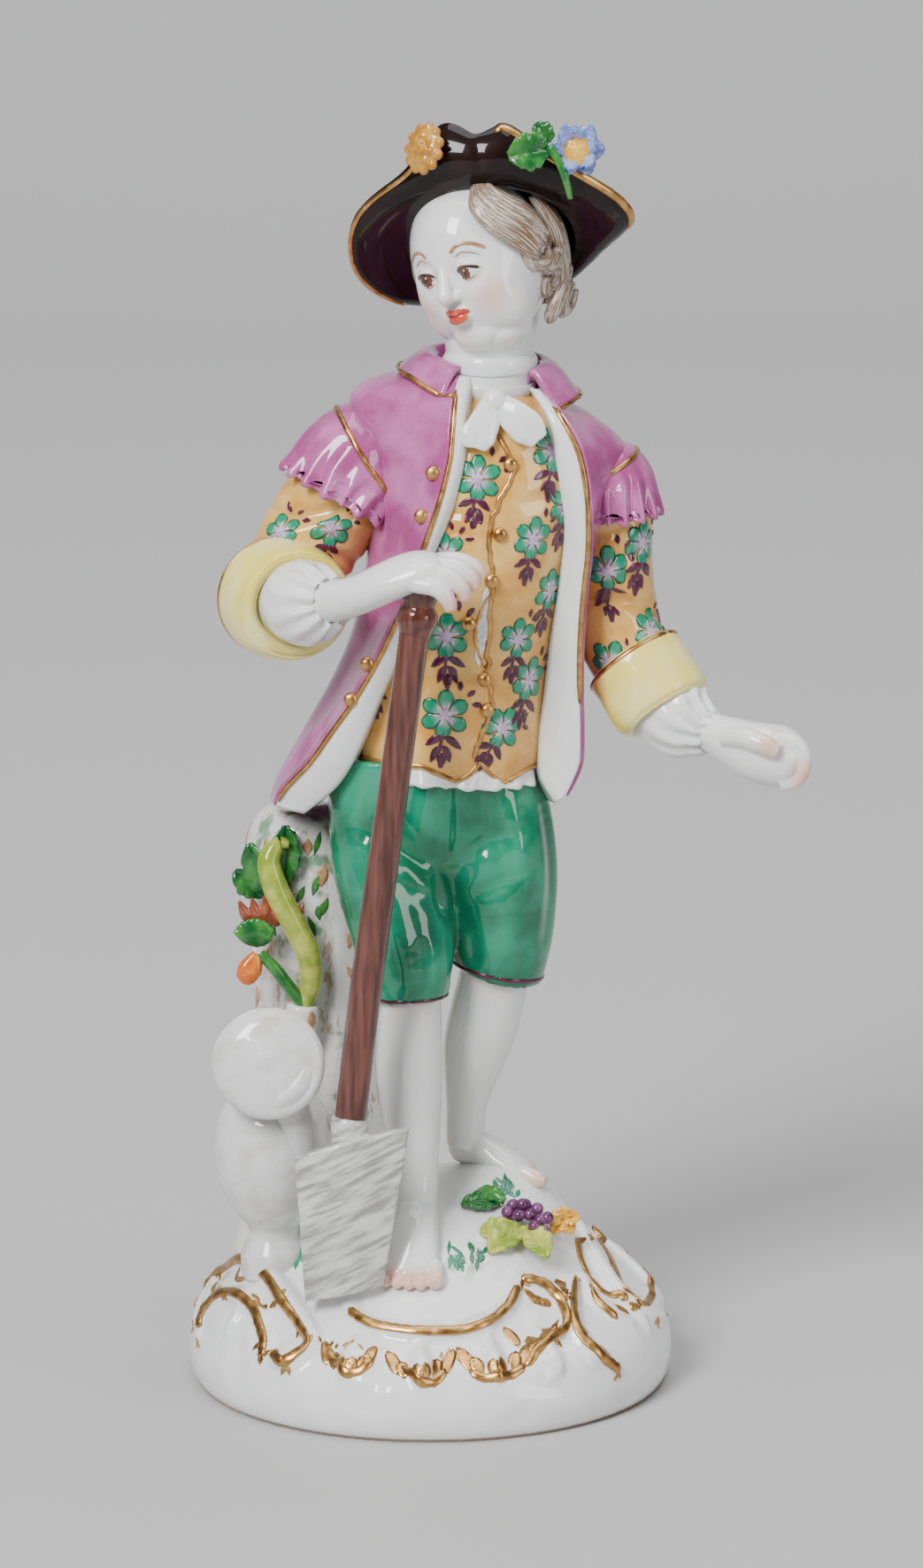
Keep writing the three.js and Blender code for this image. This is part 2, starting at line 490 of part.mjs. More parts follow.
// Forearm, palm and four fingers with a thumb, from the frill to the finger ends.
function hand(elbow, wrist, knuckles, fingers, thumb) {
  const start = elbow.clone().lerp(wrist, 0.56);
  const parts = [limb([[...start, wristRadius * 1.16, wristRadius * 1.16], [...wrist, wristRadius, wristRadius * 0.94],
    [...wrist.clone().lerp(knuckles, 0.6), wristRadius * 1.16, wristRadius * 0.82],
    [...knuckles, wristRadius * 1.08, wristRadius * 0.7]], { sides: 8, rows: 6, front: at(0, -0.4, 1) })];
  fingers.forEach((points) => parts.push(tube(points.map((p) => [...p, 0.82]), { sides: 6, rows: 3 })));
  parts.push(tube(thumb.map((p) => [...p, 0.9]), { sides: 8, rows: 3 }));
  return joined(...parts);
}

const fingerStep = 1.25;
const fingersRight = [0, 1, 2, 3].map((k) => {
  const root = knucklesRight.clone().add(at(0.3 * k - 0.8, (k - 1.5) * fingerStep, -0.3));
  return [root.toArray(), root.clone().add(at(2.2, 0.1, -0.6)).toArray(), root.clone().add(at(3.4, 0.3, -3)).toArray()];
});
const fingersLeft = [0, 1, 2, 3].map((k) => {
  const root = knucklesLeft.clone().add(at(0.2, (k - 1.5) * 0.5, (1.5 - k) * fingerStep));
  return [root.toArray(), root.clone().add(at(2.2, -0.6, -0.3)).toArray(), root.clone().add(at(2, -2.6, -0.6)).toArray()];
});
piece("hand_right", "flesh", hand(elbowRight, wristRight, knucklesRight, fingersRight,
  [wristRight.clone().add(at(2, 0.4, 0.6)).toArray(), wristRight.clone().add(at(4.6, 2, -0.6)).toArray(),
    wristRight.clone().add(at(6.6, 2.6, -2)).toArray()]));
piece("hand_left", "flesh", hand(elbowLeft, wristLeft, knucklesLeft, fingersLeft,
  [wristLeft.clone().add(at(2.4, -1.6, 0.6)).toArray(), wristLeft.clone().add(at(4.8, -3.4, 0.9)).toArray(),
    wristLeft.clone().add(at(6.8, -4, 0)).toArray()]));

[["right", elbowRight, wristRight, shoulderRight, -1], ["left", elbowLeft, wristLeft, shoulderLeft, 1]].forEach(
  ([side, elbow, wrist, shoulder, way]) => {
    const start = side === "right" ? 0.18 : 0.3;
    piece(`wrist_frill_${side}`, "porcelain", tube([[...elbow.clone().lerp(wrist, start + 0.12), cuff.radius * 0.62],
      [...elbow.clone().lerp(wrist, start + 0.34), cuff.radius * 0.66],
      [...elbow.clone().lerp(wrist, start + 0.48), wristRadius * 1.3]], { sides: 14, rows: 4, front: at(0.1, -0.1, 1) }));
    piece(`cuff_${side}`, "lemon", cuffShell(elbow, wrist, start - 0.04));
    piece(`sleeve_${side}`, "straw", sleeve(shoulder, elbow, wrist));
    piece(`sleeve_ruffle_${side}`, "mauve", limb([
      [shoulder.x - way * 0.6, shoulder.y, shoulder.z + 3.4, 3.2, 4.2],
      [shoulder.x + way * 1, shoulder.y, shoulder.z + 0.6, armRadius + 1.2, armRadius + 1.6],
      [...shoulder.clone().lerp(elbow, 0.36), armRadius + 1.9, armRadius + 2.2],
    ], { sides: 12, rows: 4, front: at(0.2, -1, 0.2) }));
  },
);

// ---------------------------------------------------------------- tree stump with its pods and leaves
const stumpPlace = [-12.6, 8.4];
piece("tree_stump", "porcelain", limb([
  [stumpPlace[0] + 1.4, stumpPlace[1], groundAt(...stumpPlace) - 3, stumpRadius * 1.12, stumpRadius],
  [stumpPlace[0], stumpPlace[1], mix(mound.height, hemZ, 0.5), stumpRadius * 0.86, stumpRadius * 0.84],
  [stumpPlace[0] - 0.4, stumpPlace[1] - 0.4, mix(hemZ, waistZ, 0.3), stumpRadius * 1.02, stumpRadius * 0.92],
  [stumpPlace[0] + 0.4, stumpPlace[1] - 0.6, mix(hemZ, waistZ, 0.62), stumpRadius * 0.84, stumpRadius * 0.8],
], { sides: 10, rows: 8 }));
const stub = at(stumpPlace[0] - 1.2, stumpPlace[1] - stumpRadius - 1, hemZ - 4.6);
piece("branch_stub", "porcelain", tube([[stub.x, stub.y + 4, stub.z - 3.6, 2.2], [...stub, 1.9]], { rows: 2, sides: 12 }));
piece("pod_tall", "leafGreen", tube([[stub.x, stub.y, stub.z + luteGap, 1.2], [stub.x + 0.2, stub.y - 0.4, stub.z + 6.4, 1.4],
  [stub.x - 3, stub.y - 0.4, stub.z + 12, 1.5], [stub.x - 3.6, stub.y + 0.6, stub.z + 15.6, 0.9]], { rows: 8, sides: 10 }));
piece("flower_stalk", "leafGreen", tube([[stub.x - 1, stub.y, stub.z + 1.4, 0.8], [stub.x - 3.4, stub.y - 0.6, stub.z + 5.4, 0.8],
  [stub.x - 6, stub.y - 0.4, stub.z + 7.6, 0.9]], { rows: 4, sides: 8 }));
piece("hanging_flower", "ochre", ball([stub.x - 6.6, stub.y - 0.6, stub.z + 7.4], 2.1, 1.8, 3.6, 12));
piece("stump_leaf", "leafGreen", ball([stub.x - 5, stub.y + 2.4, stub.z + 15.6], 2.3, 1.5, 3.4, 12));

// ---------------------------------------------------------------- flowers and leaves laid on the mound
const bouquet = at(10.4, -6.6, groundAt(10.4, -6.6));
[["yellow_leaf", "lemon", [-1.8, -3.2], 2.7], ["yellow_leaf_small", "lemon", [2.6, -2.9], 2],
  ["green_leaf", "leafGreen", [-5.2, 1.8], 2], ["grape_flower", "purple", [0.4, 0.2], 2.3],
  ["orange_petal", "ochre", [4.6, 1.8], 1.8]].forEach(([name, finish, [dx, dy], size]) => {
  const [x, y] = [bouquet.x + dx, bouquet.y + dy];
  piece(name, finish, ball([x, y, groundAt(x, y) + 0.5], size, size * 0.72, 1.3, 12));
});

// ---------------------------------------------------------------- coat: collar and two halves with a seam down the back
const collarOpening = slab([[neckBase.x - 4.6, collarZ - 8], [neckBase.x + 5, collarZ - 8],
  [neckBase.x + 7, collarZ + 4], [neckBase.x - 6, collarZ + 4]], -20, -2.4);
piece("coat_collar", "mauve", solidOf(limb([[neckBase.x, 0.2, collarZ - 2.4, 9.6, 7.4], [neckBase.x, 0.2, collarZ + 0.8, 8.4, 6.8],
  [neckBase.x, 0.4, collarZ + 2, 6.6, 6]], { rows: 3, sides: 14 })).subtract(solidOf(collarOpening)));

const coatOutside = limb([
  [neckBase.x, 0.6, collarZ - 1, chestHalf * 0.72, chestHalf * 0.6],
  [neckBase.x, 0.6, collarZ - 4.4, chestHalf + coatWall * 1.2, chestHalf * 0.7 + coatWall],
  [neckBase.x - 0.6, 0.8, mix(waistZ, collarZ, 0.66), chestHalf + coatWall, chestHalf * 0.74 + coatWall],
  [mix(hips.x, neckBase.x, 0.4), 1, mix(waistZ, collarZ, 0.32), chestHalf + coatWall, chestHalf * 0.76 + coatWall],
  [hips.x - 0.6, 1.6, waistZ + 1, chestHalf + coatWall * 2.1, chestHalf * 0.84 + coatWall],
  [hips.x - 1.6, 2.2, waistZ - 7.4, hipHalf + coatWall * 2, hipHalf * 0.8 + coatWall * 1.2],
], { sides: 16, rows: 8 });
const frontOpening = slab([[neckBase.x - 4.2, collarZ + 3], [neckBase.x - 4.6, mix(waistZ, collarZ, 0.6)],
  [hips.x - 5.4, mix(waistZ, collarZ, 0.2)], [hips.x - 11.6, waistZ - 12], [hips.x + 12, waistZ - 12],
  [hips.x + 12.4, mix(waistZ, collarZ, 0.3)], [neckBase.x + 7.4, collarZ + 3]], -30, -0.4);
const coat = solidOf(coatOutside).subtract(solidOf(frontOpening));
const seamX = mix(hips.x, neckBase.x, 0.5);
const farSide = 40;
[["right", -farSide, seamX - luteGap / 2], ["left", seamX + luteGap / 2, farSide]].forEach(([side, x0, x1]) => {
  const half = slab([[x0, 0], [x1, 0], [x1, collarZ + 20], [x0, collarZ + 20]], -30, 30);
  piece(`coat_${side}`, "mauve", coat.intersect(solidOf(half)));
});

export default figurine;
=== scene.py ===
# The porcelain gardener boy as he looks: glazed, enamelled and gilded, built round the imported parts.
# Lengths below are millimetres of the figure, measured from the middle of the mound's underside.
import bmesh
import bpy
import math
import random
import numpy as np
from mathutils import Matrix, Vector
from mathutils.bvhtree import BVHTree


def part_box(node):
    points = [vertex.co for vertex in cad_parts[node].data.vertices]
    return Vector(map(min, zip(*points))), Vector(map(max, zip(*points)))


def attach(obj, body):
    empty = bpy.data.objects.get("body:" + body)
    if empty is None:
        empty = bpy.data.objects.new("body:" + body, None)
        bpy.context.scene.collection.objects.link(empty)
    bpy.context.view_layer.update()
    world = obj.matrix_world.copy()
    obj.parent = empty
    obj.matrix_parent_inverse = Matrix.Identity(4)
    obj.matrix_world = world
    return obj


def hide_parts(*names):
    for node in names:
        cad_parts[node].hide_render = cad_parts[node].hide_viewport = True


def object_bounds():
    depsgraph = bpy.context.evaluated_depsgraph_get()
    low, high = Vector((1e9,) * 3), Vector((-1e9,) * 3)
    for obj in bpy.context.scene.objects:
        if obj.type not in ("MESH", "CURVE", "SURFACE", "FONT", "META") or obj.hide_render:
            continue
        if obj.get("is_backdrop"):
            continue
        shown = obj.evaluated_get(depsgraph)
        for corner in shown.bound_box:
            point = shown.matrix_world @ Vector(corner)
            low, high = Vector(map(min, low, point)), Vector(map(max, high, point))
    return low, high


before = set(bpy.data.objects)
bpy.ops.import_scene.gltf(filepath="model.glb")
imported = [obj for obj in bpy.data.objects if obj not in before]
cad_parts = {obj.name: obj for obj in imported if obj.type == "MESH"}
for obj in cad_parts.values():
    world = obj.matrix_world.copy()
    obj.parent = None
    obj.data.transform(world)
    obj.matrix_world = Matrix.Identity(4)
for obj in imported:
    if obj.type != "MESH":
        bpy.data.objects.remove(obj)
cadLow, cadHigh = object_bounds()
moundLow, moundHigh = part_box("mound_base")
mm = (cadHigh.z - cadLow.z) / 138.5
foot = Vector(((moundLow.x + moundHigh.x) / 2, (moundLow.y + moundHigh.y) / 2, moundLow.z))
toFrame = Matrix.Translation(foot) @ Matrix.Scale(mm, 4)


# Shader building: a value that grows Math nodes when it is used in arithmetic.
class Value:
    def __init__(self, shader, socket):
        self.shader, self.socket = shader, socket

    def op(self, kind, *others, clamp=False):
        return self.shader.node("ShaderNodeMath", {"operation": kind, "use_clamp": clamp}, *[self, *others])

    def __add__(self, other):
        return self.op("ADD", other)

    def __sub__(self, other):
        return self.op("SUBTRACT", other)

    def __mul__(self, other):
        return self.op("MULTIPLY", other)

    def __truediv__(self, other):
        return self.op("DIVIDE", other)

    def __radd__(self, other):
        return self.shader.number(other) + self

    def __rsub__(self, other):
        return self.shader.number(other) - self

    def __rmul__(self, other):
        return self * other

    def between(self, low, high):  # 0 at low, 1 at high, eased
        return self.shader.node("ShaderNodeMapRange", {"interpolation_type": "SMOOTHSTEP"}, self, low,
                                high, 0.0, 1.0)

    def most(self, other):
        return self.op("MAXIMUM", other)


class Shader:
    def __init__(self, name, **constants):
        self.material = bpy.data.materials.new(name)
        self.material.use_nodes = True
        self.nodes = self.material.node_tree.nodes
        self.links = self.material.node_tree.links
        self.surface = self.nodes["Principled BSDF"]
        for key, value in constants.items():
            self.surface.inputs[key.replace("_", " ")].default_value = value

    def node(self, kind, settings, *values, out=0, **named):
        made = self.nodes.new(kind)
        for key, value in settings.items():
            setattr(made, key, value)
        for key, value in [*enumerate(values), *named.items()]:
            socket = made.inputs[key.replace("_", " ") if isinstance(key, str) else key]
            if isinstance(value, Value):
                self.links.new(value.socket, socket)
            elif value is not None:
                socket.default_value = value
        return Value(self, made.outputs[out])

    def number(self, value):
        made = self.nodes.new("ShaderNodeValue")
        made.outputs[0].default_value = value
        return Value(self, made.outputs[0])

    def place(self):
        return self.node("ShaderNodeTexCoord", {}, out="Object")

    # scale: features per millimetre
    def noise(self, scale, detail=3.0, stretch=(1, 1, 1), roughness=0.5, turn=0.0):
        spot = self.node("ShaderNodeVectorRotate", {"rotation_type": "Y_AXIS"}, Vector=self.place(),
                         Angle=turn)
        spot = self.node("ShaderNodeVectorMath", {"operation": "MULTIPLY"}, spot,
                         tuple(s / mm for s in stretch))
        return self.node("ShaderNodeTexNoise", {}, Vector=spot, Scale=scale, Detail=detail,
                         Roughness=roughness)

    def attribute(self, name):
        return self.node("ShaderNodeAttribute", {"attribute_name": name}, out="Fac")

    def near(self, centre, radius):  # 1 at a spot given in figure millimetres, 0 beyond the radius
        spot = toFrame @ Vector(centre)
        away = self.node("ShaderNodeVectorMath", {"operation": "DISTANCE"}, self.place(), tuple(spot),
                         out="Value")
        return away.between(radius * mm, 0.0)

    def height(self):
        return self.node("ShaderNodeSeparateXYZ", {}, self.place(), out="Z") / mm

    def blend(self, share, first, second):
        made = self.nodes.new("ShaderNodeMix")
        made.data_type = "RGBA"
        for socket, value in ((made.inputs[0], share), (made.inputs[6], first), (made.inputs[7], second)):
            if isinstance(value, Value):
                self.links.new(value.socket, socket)
            else:
                socket.default_value = value if isinstance(value, float) else (*value, 1.0)
        return Value(self, made.outputs[2])

    def feed(self, **values):
        for key, value in values.items():
            self.links.new(value.socket, self.surface.inputs[key.replace("_", " ")])
        return self.material

    def bump(self, height, strength=0.3, depth=0.1):
        return self.node("ShaderNodeBump", {}, Height=height, Strength=strength, Distance=depth * mm,
                         out="Normal")


glaze = {"Roughness": 0.3, "Specular_IOR_Level": 0.1, "Coat_Weight": 1.0, "Coat_Roughness": 0.03,
         "Coat_IOR": 1.5}


def whiteGlaze(name="white glaze", tints=(), white=(0.80, 0.805, 0.80)):
    s = Shader(name, **glaze, Subsurface_Weight=0.25, Subsurface_Scale=0.8 * mm)
    colour = s.blend(s.noise(0.12).between(0.35, 0.7), white, tuple(c * 0.96 for c in white))
    for centre, radius, strength, tint in tints:
        colour = s.blend(s.near(centre, radius) * strength, colour, tint)
    return s.feed(Base_Color=colour)


def washGlaze(name, deep, light, scale=0.35, speck=None):
    s = Shader(name, **glaze)
    wash = s.noise(scale, 4.0).between(0.32, 0.68)
    colour = s.blend(wash, deep, light)
    if speck:
        colour = s.blend(s.noise(1.4, 2.0).between(0.70, 0.76) * 0.6, colour, speck)
    return s.feed(Base_Color=colour)


def darkGlaze(name, deep, light, scale):
    s = Shader(name, Roughness=0.35, Specular_IOR_Level=0.05, Coat_Weight=0.62, Coat_Roughness=0.02,
               Coat_IOR=1.45)
    return s.feed(Base_Color=s.blend(s.noise(scale, 4.0).between(0.32, 0.68), deep, light))


def petalGlaze(name, heart, body, rim):
    s = Shader(name, **glaze)
    along, across = s.attribute("along"), s.attribute("across")
    colour = s.blend(along.between(0.0, 0.55), heart, body)
    edge = across.between(0.55, 0.95).most(along.between(0.82, 0.97))
    colour = s.blend(edge * 0.85, colour, rim)
    return s.feed(Base_Color=colour)


def goldGlaze():
    s = Shader("burnished gold", Metallic=1.0, Coat_Weight=0.3, Coat_Roughness=0.1)
    worn = s.noise(0.9, 4.0).between(0.3, 0.75)
    colour = s.blend(worn, (0.46, 0.225, 0.06), (0.68, 0.40, 0.14))
    return s.feed(Base_Color=colour, Roughness=worn * 0.18 + 0.26)


def hairGlaze():
    s = Shader("hair strands", **glaze)
    along, across = s.attribute("along"), s.attribute("across")
    strand = s.node("ShaderNodeCombineXYZ", {}, across * 9.0, along * 1.3, s.noise(0.25) * 2.0)
    lines = s.node("ShaderNodeTexNoise", {}, Vector=strand, Scale=2.4, Detail=3.0, Roughness=0.6)
    share = lines.between(0.36, 0.56)
    colour = s.blend(share, (0.70, 0.63, 0.56), (0.20, 0.12, 0.07))
    return s.feed(Base_Color=colour, Normal=s.bump(share * -1.0 + 1.0, 0.5, 0.12))


def shaftGlaze():
    s = Shader("brown shaft", **glaze)
    streak = s.noise(0.9, 5.0, stretch=(1.6, 1.6, 0.12)).between(0.34, 0.66)
    colour = s.blend(streak, (0.055, 0.013, 0.009), (0.145, 0.046, 0.031))
    return s.feed(Base_Color=colour)


def bladeGlaze():
    s = Shader("brushed grey", **glaze)
    streak = s.noise(0.6, 4.0, stretch=(0.35, 1.0, 2.4), roughness=0.55, turn=0.45).between(0.34, 0.62)
    colour = s.blend(streak, (0.27, 0.265, 0.26), (0.62, 0.62, 0.61))
    return s.feed(Base_Color=colour)


def canGlaze():
    s = Shader("grey washed can", **glaze)
    streak = s.noise(0.4, 4.0, stretch=(0.8, 1.0, 1.1), turn=0.4).between(0.42, 0.72)
    colour = s.blend(streak * 0.6, (0.71, 0.71, 0.71), (0.50, 0.475, 0.44))
    return s.feed(Base_Color=colour)


def stumpGlaze():
    s = Shader("dabbed bark", **glaze)
    dab = s.noise(0.55, 5.0, stretch=(1.2, 1.2, 0.45), roughness=0.7)
    colour = s.blend(dab.between(0.54, 0.64) * 0.8, (0.70, 0.69, 0.66), (0.36, 0.21, 0.10))
    green = s.noise(0.3, 3.0).between(0.56, 0.66)
    colour = s.blend(green * 0.8, colour, (0.06, 0.22, 0.08))
    return s.feed(Base_Color=colour)


materials = {
    "white": whiteGlaze(),
    "mauve": washGlaze("mauve enamel", (0.34, 0.06, 0.21), (0.52, 0.155, 0.37), 0.22, (0.30, 0.03, 0.15)),
    "straw": washGlaze("straw enamel", (0.62, 0.295, 0.05), (0.77, 0.475, 0.14), 0.25),
    "lemon": washGlaze("lemon enamel", (0.80, 0.66, 0.10), (0.86, 0.78, 0.32), 0.16),
    "emerald": washGlaze("emerald enamel", (0.001, 0.125, 0.058), (0.012, 0.27, 0.15), 0.2),
    "black": darkGlaze("black enamel", (0.004, 0.0015, 0.0015), (0.014, 0.004, 0.004), 0.2),
    "leaf": washGlaze("leaf green", (0.005, 0.09, 0.018), (0.045, 0.23, 0.035), 0.5),
    "lime": washGlaze("lime green", (0.20, 0.30, 0.02), (0.50, 0.52, 0.09), 0.4),
    "ochre": washGlaze("ochre enamel", (0.37, 0.145, 0.012), (0.55, 0.28, 0.04), 0.8),
    "yellow": washGlaze("yellow enamel", (0.74, 0.34, 0.02), (0.82, 0.52, 0.08), 0.8),
    "purple": washGlaze("purple enamel", (0.07, 0.012, 0.06), (0.20, 0.06, 0.17), 0.8),
    "maroon": washGlaze("maroon enamel", (0.05, 0.004, 0.02), (0.095, 0.011, 0.045), 0.8),
    "orange": washGlaze("orange enamel", (0.60, 0.12, 0.01), (0.72, 0.26, 0.03), 0.6),
    "rust": washGlaze("rust enamel", (0.20, 0.04, 0.02), (0.38, 0.10, 0.04), 0.8),
    "petal": petalGlaze("green petals", (0.36, 0.50, 0.44), (0.006, 0.26, 0.13), (0.001, 0.06, 0.03)),
    "lilac": washGlaze("lilac strokes", (0.44, 0.28, 0.48), (0.62, 0.50, 0.66), 1.0),
    "blue": petalGlaze("blue petals", (0.74, 0.76, 0.82), (0.27, 0.36, 0.68), (0.07, 0.12, 0.44)),
    "gold": goldGlaze(),
    "hair": hairGlaze(),
    "shaft": shaftGlaze(),
    "blade": bladeGlaze(),
    "can": canGlaze(),
    "bark": stumpGlaze(),
    "bistre": washGlaze("bistre strokes", (0.36, 0.17, 0.07), (0.54, 0.32, 0.17), 0.9),
    "iris": washGlaze("iris brown", (0.10, 0.028, 0.012), (0.19, 0.06, 0.025), 2.0),
    "lash": washGlaze("lash brown", (0.035, 0.012, 0.008), (0.06, 0.02, 0.012), 2.0),
    "brow": washGlaze("brow brown", (0.32, 0.15, 0.07), (0.46, 0.25, 0.13), 1.5),
    "lip": washGlaze("lip red", (0.55, 0.045, 0.02), (0.66, 0.09, 0.04), 1.0),
}
print("materials", len(materials))


# Modelling moves.
def spline(stations, count):  # a smooth run of rows of numbers through the given ones
    rows = np.array([list(s) for s in stations], float)
    ends = np.vstack([2 * rows[0] - rows[1], rows, 2 * rows[-1] - rows[-2]])
    out = []
    for t in np.linspace(0, len(rows) - 1, count):
        k = min(int(t), len(rows) - 2)
        f = t - k
        a, b, c, d = ends[k:k + 4]
        out.append(0.5 * (2 * b + (c - a) * f + (2 * a - 5 * b + 4 * c - d) * f * f
                          + (3 * b - a - 3 * c + d) * f ** 3))
    return np.array(out)


def layersOf(bm):
    floats = bm.verts.layers.float
    return [floats.get(name) or floats.new(name) for name in ("along", "across")]


def loft(stations, sides=28, rows=36, front=(0, -1, 0), bm=None, fronts=None):
    # A closed body through ovals: each station is centre x, y, z, half width, half depth.
    bm = bm or bmesh.new()
    alongLayer, acrossLayer = layersOf(bm)
    path = spline(stations, rows)
    centres = [Vector(p[:3]) for p in path]
    verts, edges, last = [], [], None
    for i, p in enumerate(path):
        along = (centres[min(i + 1, rows - 1)] - centres[max(i - 1, 0)]).normalized()
        ahead = fronts[i] if fronts else Vector(front)
        ahead = (ahead - along * ahead.dot(along)).normalized()
        side = ahead.cross(along)
        turn = Matrix((side * max(p[3], 1e-3), ahead * max(p[4], 1e-3), along)).transposed().to_4x4()
        here = Matrix.Translation(centres[i]) @ turn
        if last is None:
            verts = bmesh.ops.create_circle(bm, cap_ends=True, segments=sides, radius=1,
                                            matrix=here)["verts"]
        else:
            made = bmesh.ops.extrude_edge_only(bm, edges=edges)["geom"]
            verts = [g for g in made if isinstance(g, bmesh.types.BMVert)]
            bmesh.ops.transform(bm, matrix=here @ last.inverted(), verts=verts)
        ring = set(verts)
        edges = list({e for v in verts for e in v.link_edges if e.other_vert(v) in ring})
        back = here.inverted()
        for v in verts:
            spot = back @ v.co
            v[alongLayer], v[acrossLayer] = i / (rows - 1), abs(math.atan2(spot.x, spot.y)) / math.pi
        last = here
    bmesh.ops.holes_fill(bm, edges=edges, sides=0)
    return bm


def tube(stations, **options):  # one radius for both ways
    return loft([(*s, s[3]) for s in stations], **options)


def ball(centre, size, detail=4, bm=None):
    bm = bm or bmesh.new()
    size = (size,) * 3 if isinstance(size, (int, float)) else size
    alongLayer, acrossLayer = layersOf(bm)
    place = Matrix.Translation(centre) @ Matrix.Diagonal((*size, 1))
    for v in bmesh.ops.create_icosphere(bm, subdivisions=detail, radius=1, matrix=place)["verts"]:
        spot = v.co - Vector(centre)
        v[alongLayer], v[acrossLayer] = 0.5 + spot.z / size[2] / 2, math.atan2(abs(spot.x),
                -spot.y) / math.pi
    return bm


def sculpt(bm, moves):
    # Each move: kind, where, size, amount.
    # nudge: a vector. swell: out along the skin. crease: along a line of points.
    bmesh.ops.recalc_face_normals(bm, faces=bm.faces)
    spots = np.array([v.co for v in bm.verts])
    skins = np.array([v.normal for v in bm.verts])
    for kind, where, size, amount in moves:
        if kind == "crease":
            line = spline(where, max(3, int(len(where) * 5)))[:, :3]
            share = np.zeros(len(spots))
            for i in range(len(line) - 1):
                a, b = line[i], line[i + 1]
                run = np.clip(((spots - a) @ (b - a)) / max(1e-9, (b - a) @ (b - a)), 0, 1)
                away = np.linalg.norm(spots - (a + run[:, None] * (b - a)), axis=1) / size
                fade = math.sin(math.pi * (i + 0.8) / (len(line) + 0.6)) ** 0.5
                share = np.maximum(share, np.clip(1 - away, 0, 1) * fade)
        else:
            share = np.clip(1 - np.linalg.norm((spots - np.array(where)) / size, axis=1), 0, 1)
        share = (share * share * (3 - 2 * share))[:, None]
        spots = spots + share * (np.array(amount) if kind == "nudge" else skins * amount)
    for v, spot in zip(bm.verts, spots):
        v.co = spot
    return bm


def through(bm, *steps):  # runs modifiers over a draft of the shape
    draft = bpy.data.objects.new("draft", bpy.data.meshes.new("draft"))
    bm.to_mesh(draft.data)
    bm.free()
    bpy.context.collection.objects.link(draft)
    for kind, settings in steps:
        made = draft.modifiers.new(kind, kind)
        for key, value in settings.items():
            setattr(made, key, value)
    out = bmesh.new()
    out.from_object(draft, bpy.context.evaluated_depsgraph_get())
    bpy.data.objects.remove(draft)
    return out


def melded(bm, grain, rounds=3):  # one skin round everything in bm
    return through(bm, ("REMESH", {"mode": "VOXEL", "voxel_size": grain}),
                   ("SMOOTH", {"factor": 0.5, "iterations": rounds}))


def solid(bm, thickness):
    bmesh.ops.recalc_face_normals(bm, faces=bm.faces)
    return through(bm, ("SOLIDIFY", {"thickness": thickness, "offset": 0.0, "use_even_offset": False}))


def softened(bm):
    bmesh.ops.smooth_vert(bm, verts=bm.verts, factor=0.5, use_axis_x=True, use_axis_y=True, use_axis_z=True)


def skinOf(bm):
    bmesh.ops.recalc_face_normals(bm, faces=bm.faces)
    return BVHTree.FromBMesh(bm)


def resampled(points, step):
    rough = spline(points, 12 * len(points))
    length = np.linalg.norm(np.diff(rough, axis=0), axis=1).sum()
    return [Vector(p) for p in spline(points, max(4, int(length / step)))]


def trace(bm, skin, points, width=0.34, height=0.10, step=0.45, reach=2.5, bare=False):
    # A painted line laid on a skin: a slim body half sunk into it.
    path, fronts = [], []
    for p in (resampled(points, step) if not bare else points):
        spot, normal, _, away = skin.find_nearest(p)
        if away < reach and (not path or (spot - path[-1]).length > 0.12):
            path.append(spot)
            fronts.append(normal)
    if len(path) < 4:
        return bm
    stations = [(*p, width / 2, height) for p in path]
    stations[0] = (*path[0], width / 6, height / 2)
    stations[-1] = (*path[-1], width / 6, height / 2)
    count = len(stations)
    return loft(stations, sides=8, rows=count, bm=bm, fronts=fronts)


def stroke(bm, skin, centre, up, length, width, turn=0.0, start=(0.0, 0.0), lift=0.035, bend=0.0,
           belly=1.0, cells=6):
    # A brush stroke or petal: starts at an offset from the centre and runs out at an angle.
    # Both are measured in the skin's plane.
    alongLayer, acrossLayer = layersOf(bm)
    spot, normal, _, _ = skin.find_nearest(Vector(centre))
    upward = (Vector(up) - normal * normal.dot(Vector(up))).normalized()
    right = upward.cross(normal)
    made = bmesh.ops.create_grid(bm, x_segments=4, y_segments=cells, size=0.5)["verts"]
    c, s = math.cos(turn), math.sin(turn)
    for v in made:
        t = v.co.y + 0.5
        if belly == "petal":
            w = width * v.co.x * math.sin(math.pi * (0.03 + 0.94 * t)) ** 0.5 * (0.5 + 0.5 * min(1, 2 * t))
        else:
            w = width * v.co.x * max(0.06, math.sin(math.pi * t) ** belly)
        x, y = w + bend * t * t, length * t
        x, y = x * c + y * s + start[0], y * c - x * s + start[1]
        v[alongLayer], v[acrossLayer] = t, abs(v.co.x) * 2
        flat = spot + right * x + upward * y
        landed, facing, _, _ = skin.find_nearest(flat)
        v.co = landed + facing * lift
    return bm


def sheeted(bm, thickness=0.09):  # gives brush strokes a little body
    return solid(bm, thickness)


def keep(name, bm, material, nodes=(), flip=True):
    if flip:
        bmesh.ops.recalc_face_normals(bm, faces=bm.faces)
    bm.transform(toFrame)
    mesh = bpy.data.meshes.new(name)
    bm.to_mesh(mesh)
    bm.free()
    mesh.shade_smooth()
    mesh.materials.append(materials[material] if isinstance(material, str) else material)
    piece = bpy.data.objects.new(name, mesh)
    bpy.context.collection.objects.link(piece)
    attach(piece, "root")
    if nodes:
        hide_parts(*nodes)
    return piece


up = Vector((0, 0, 1))

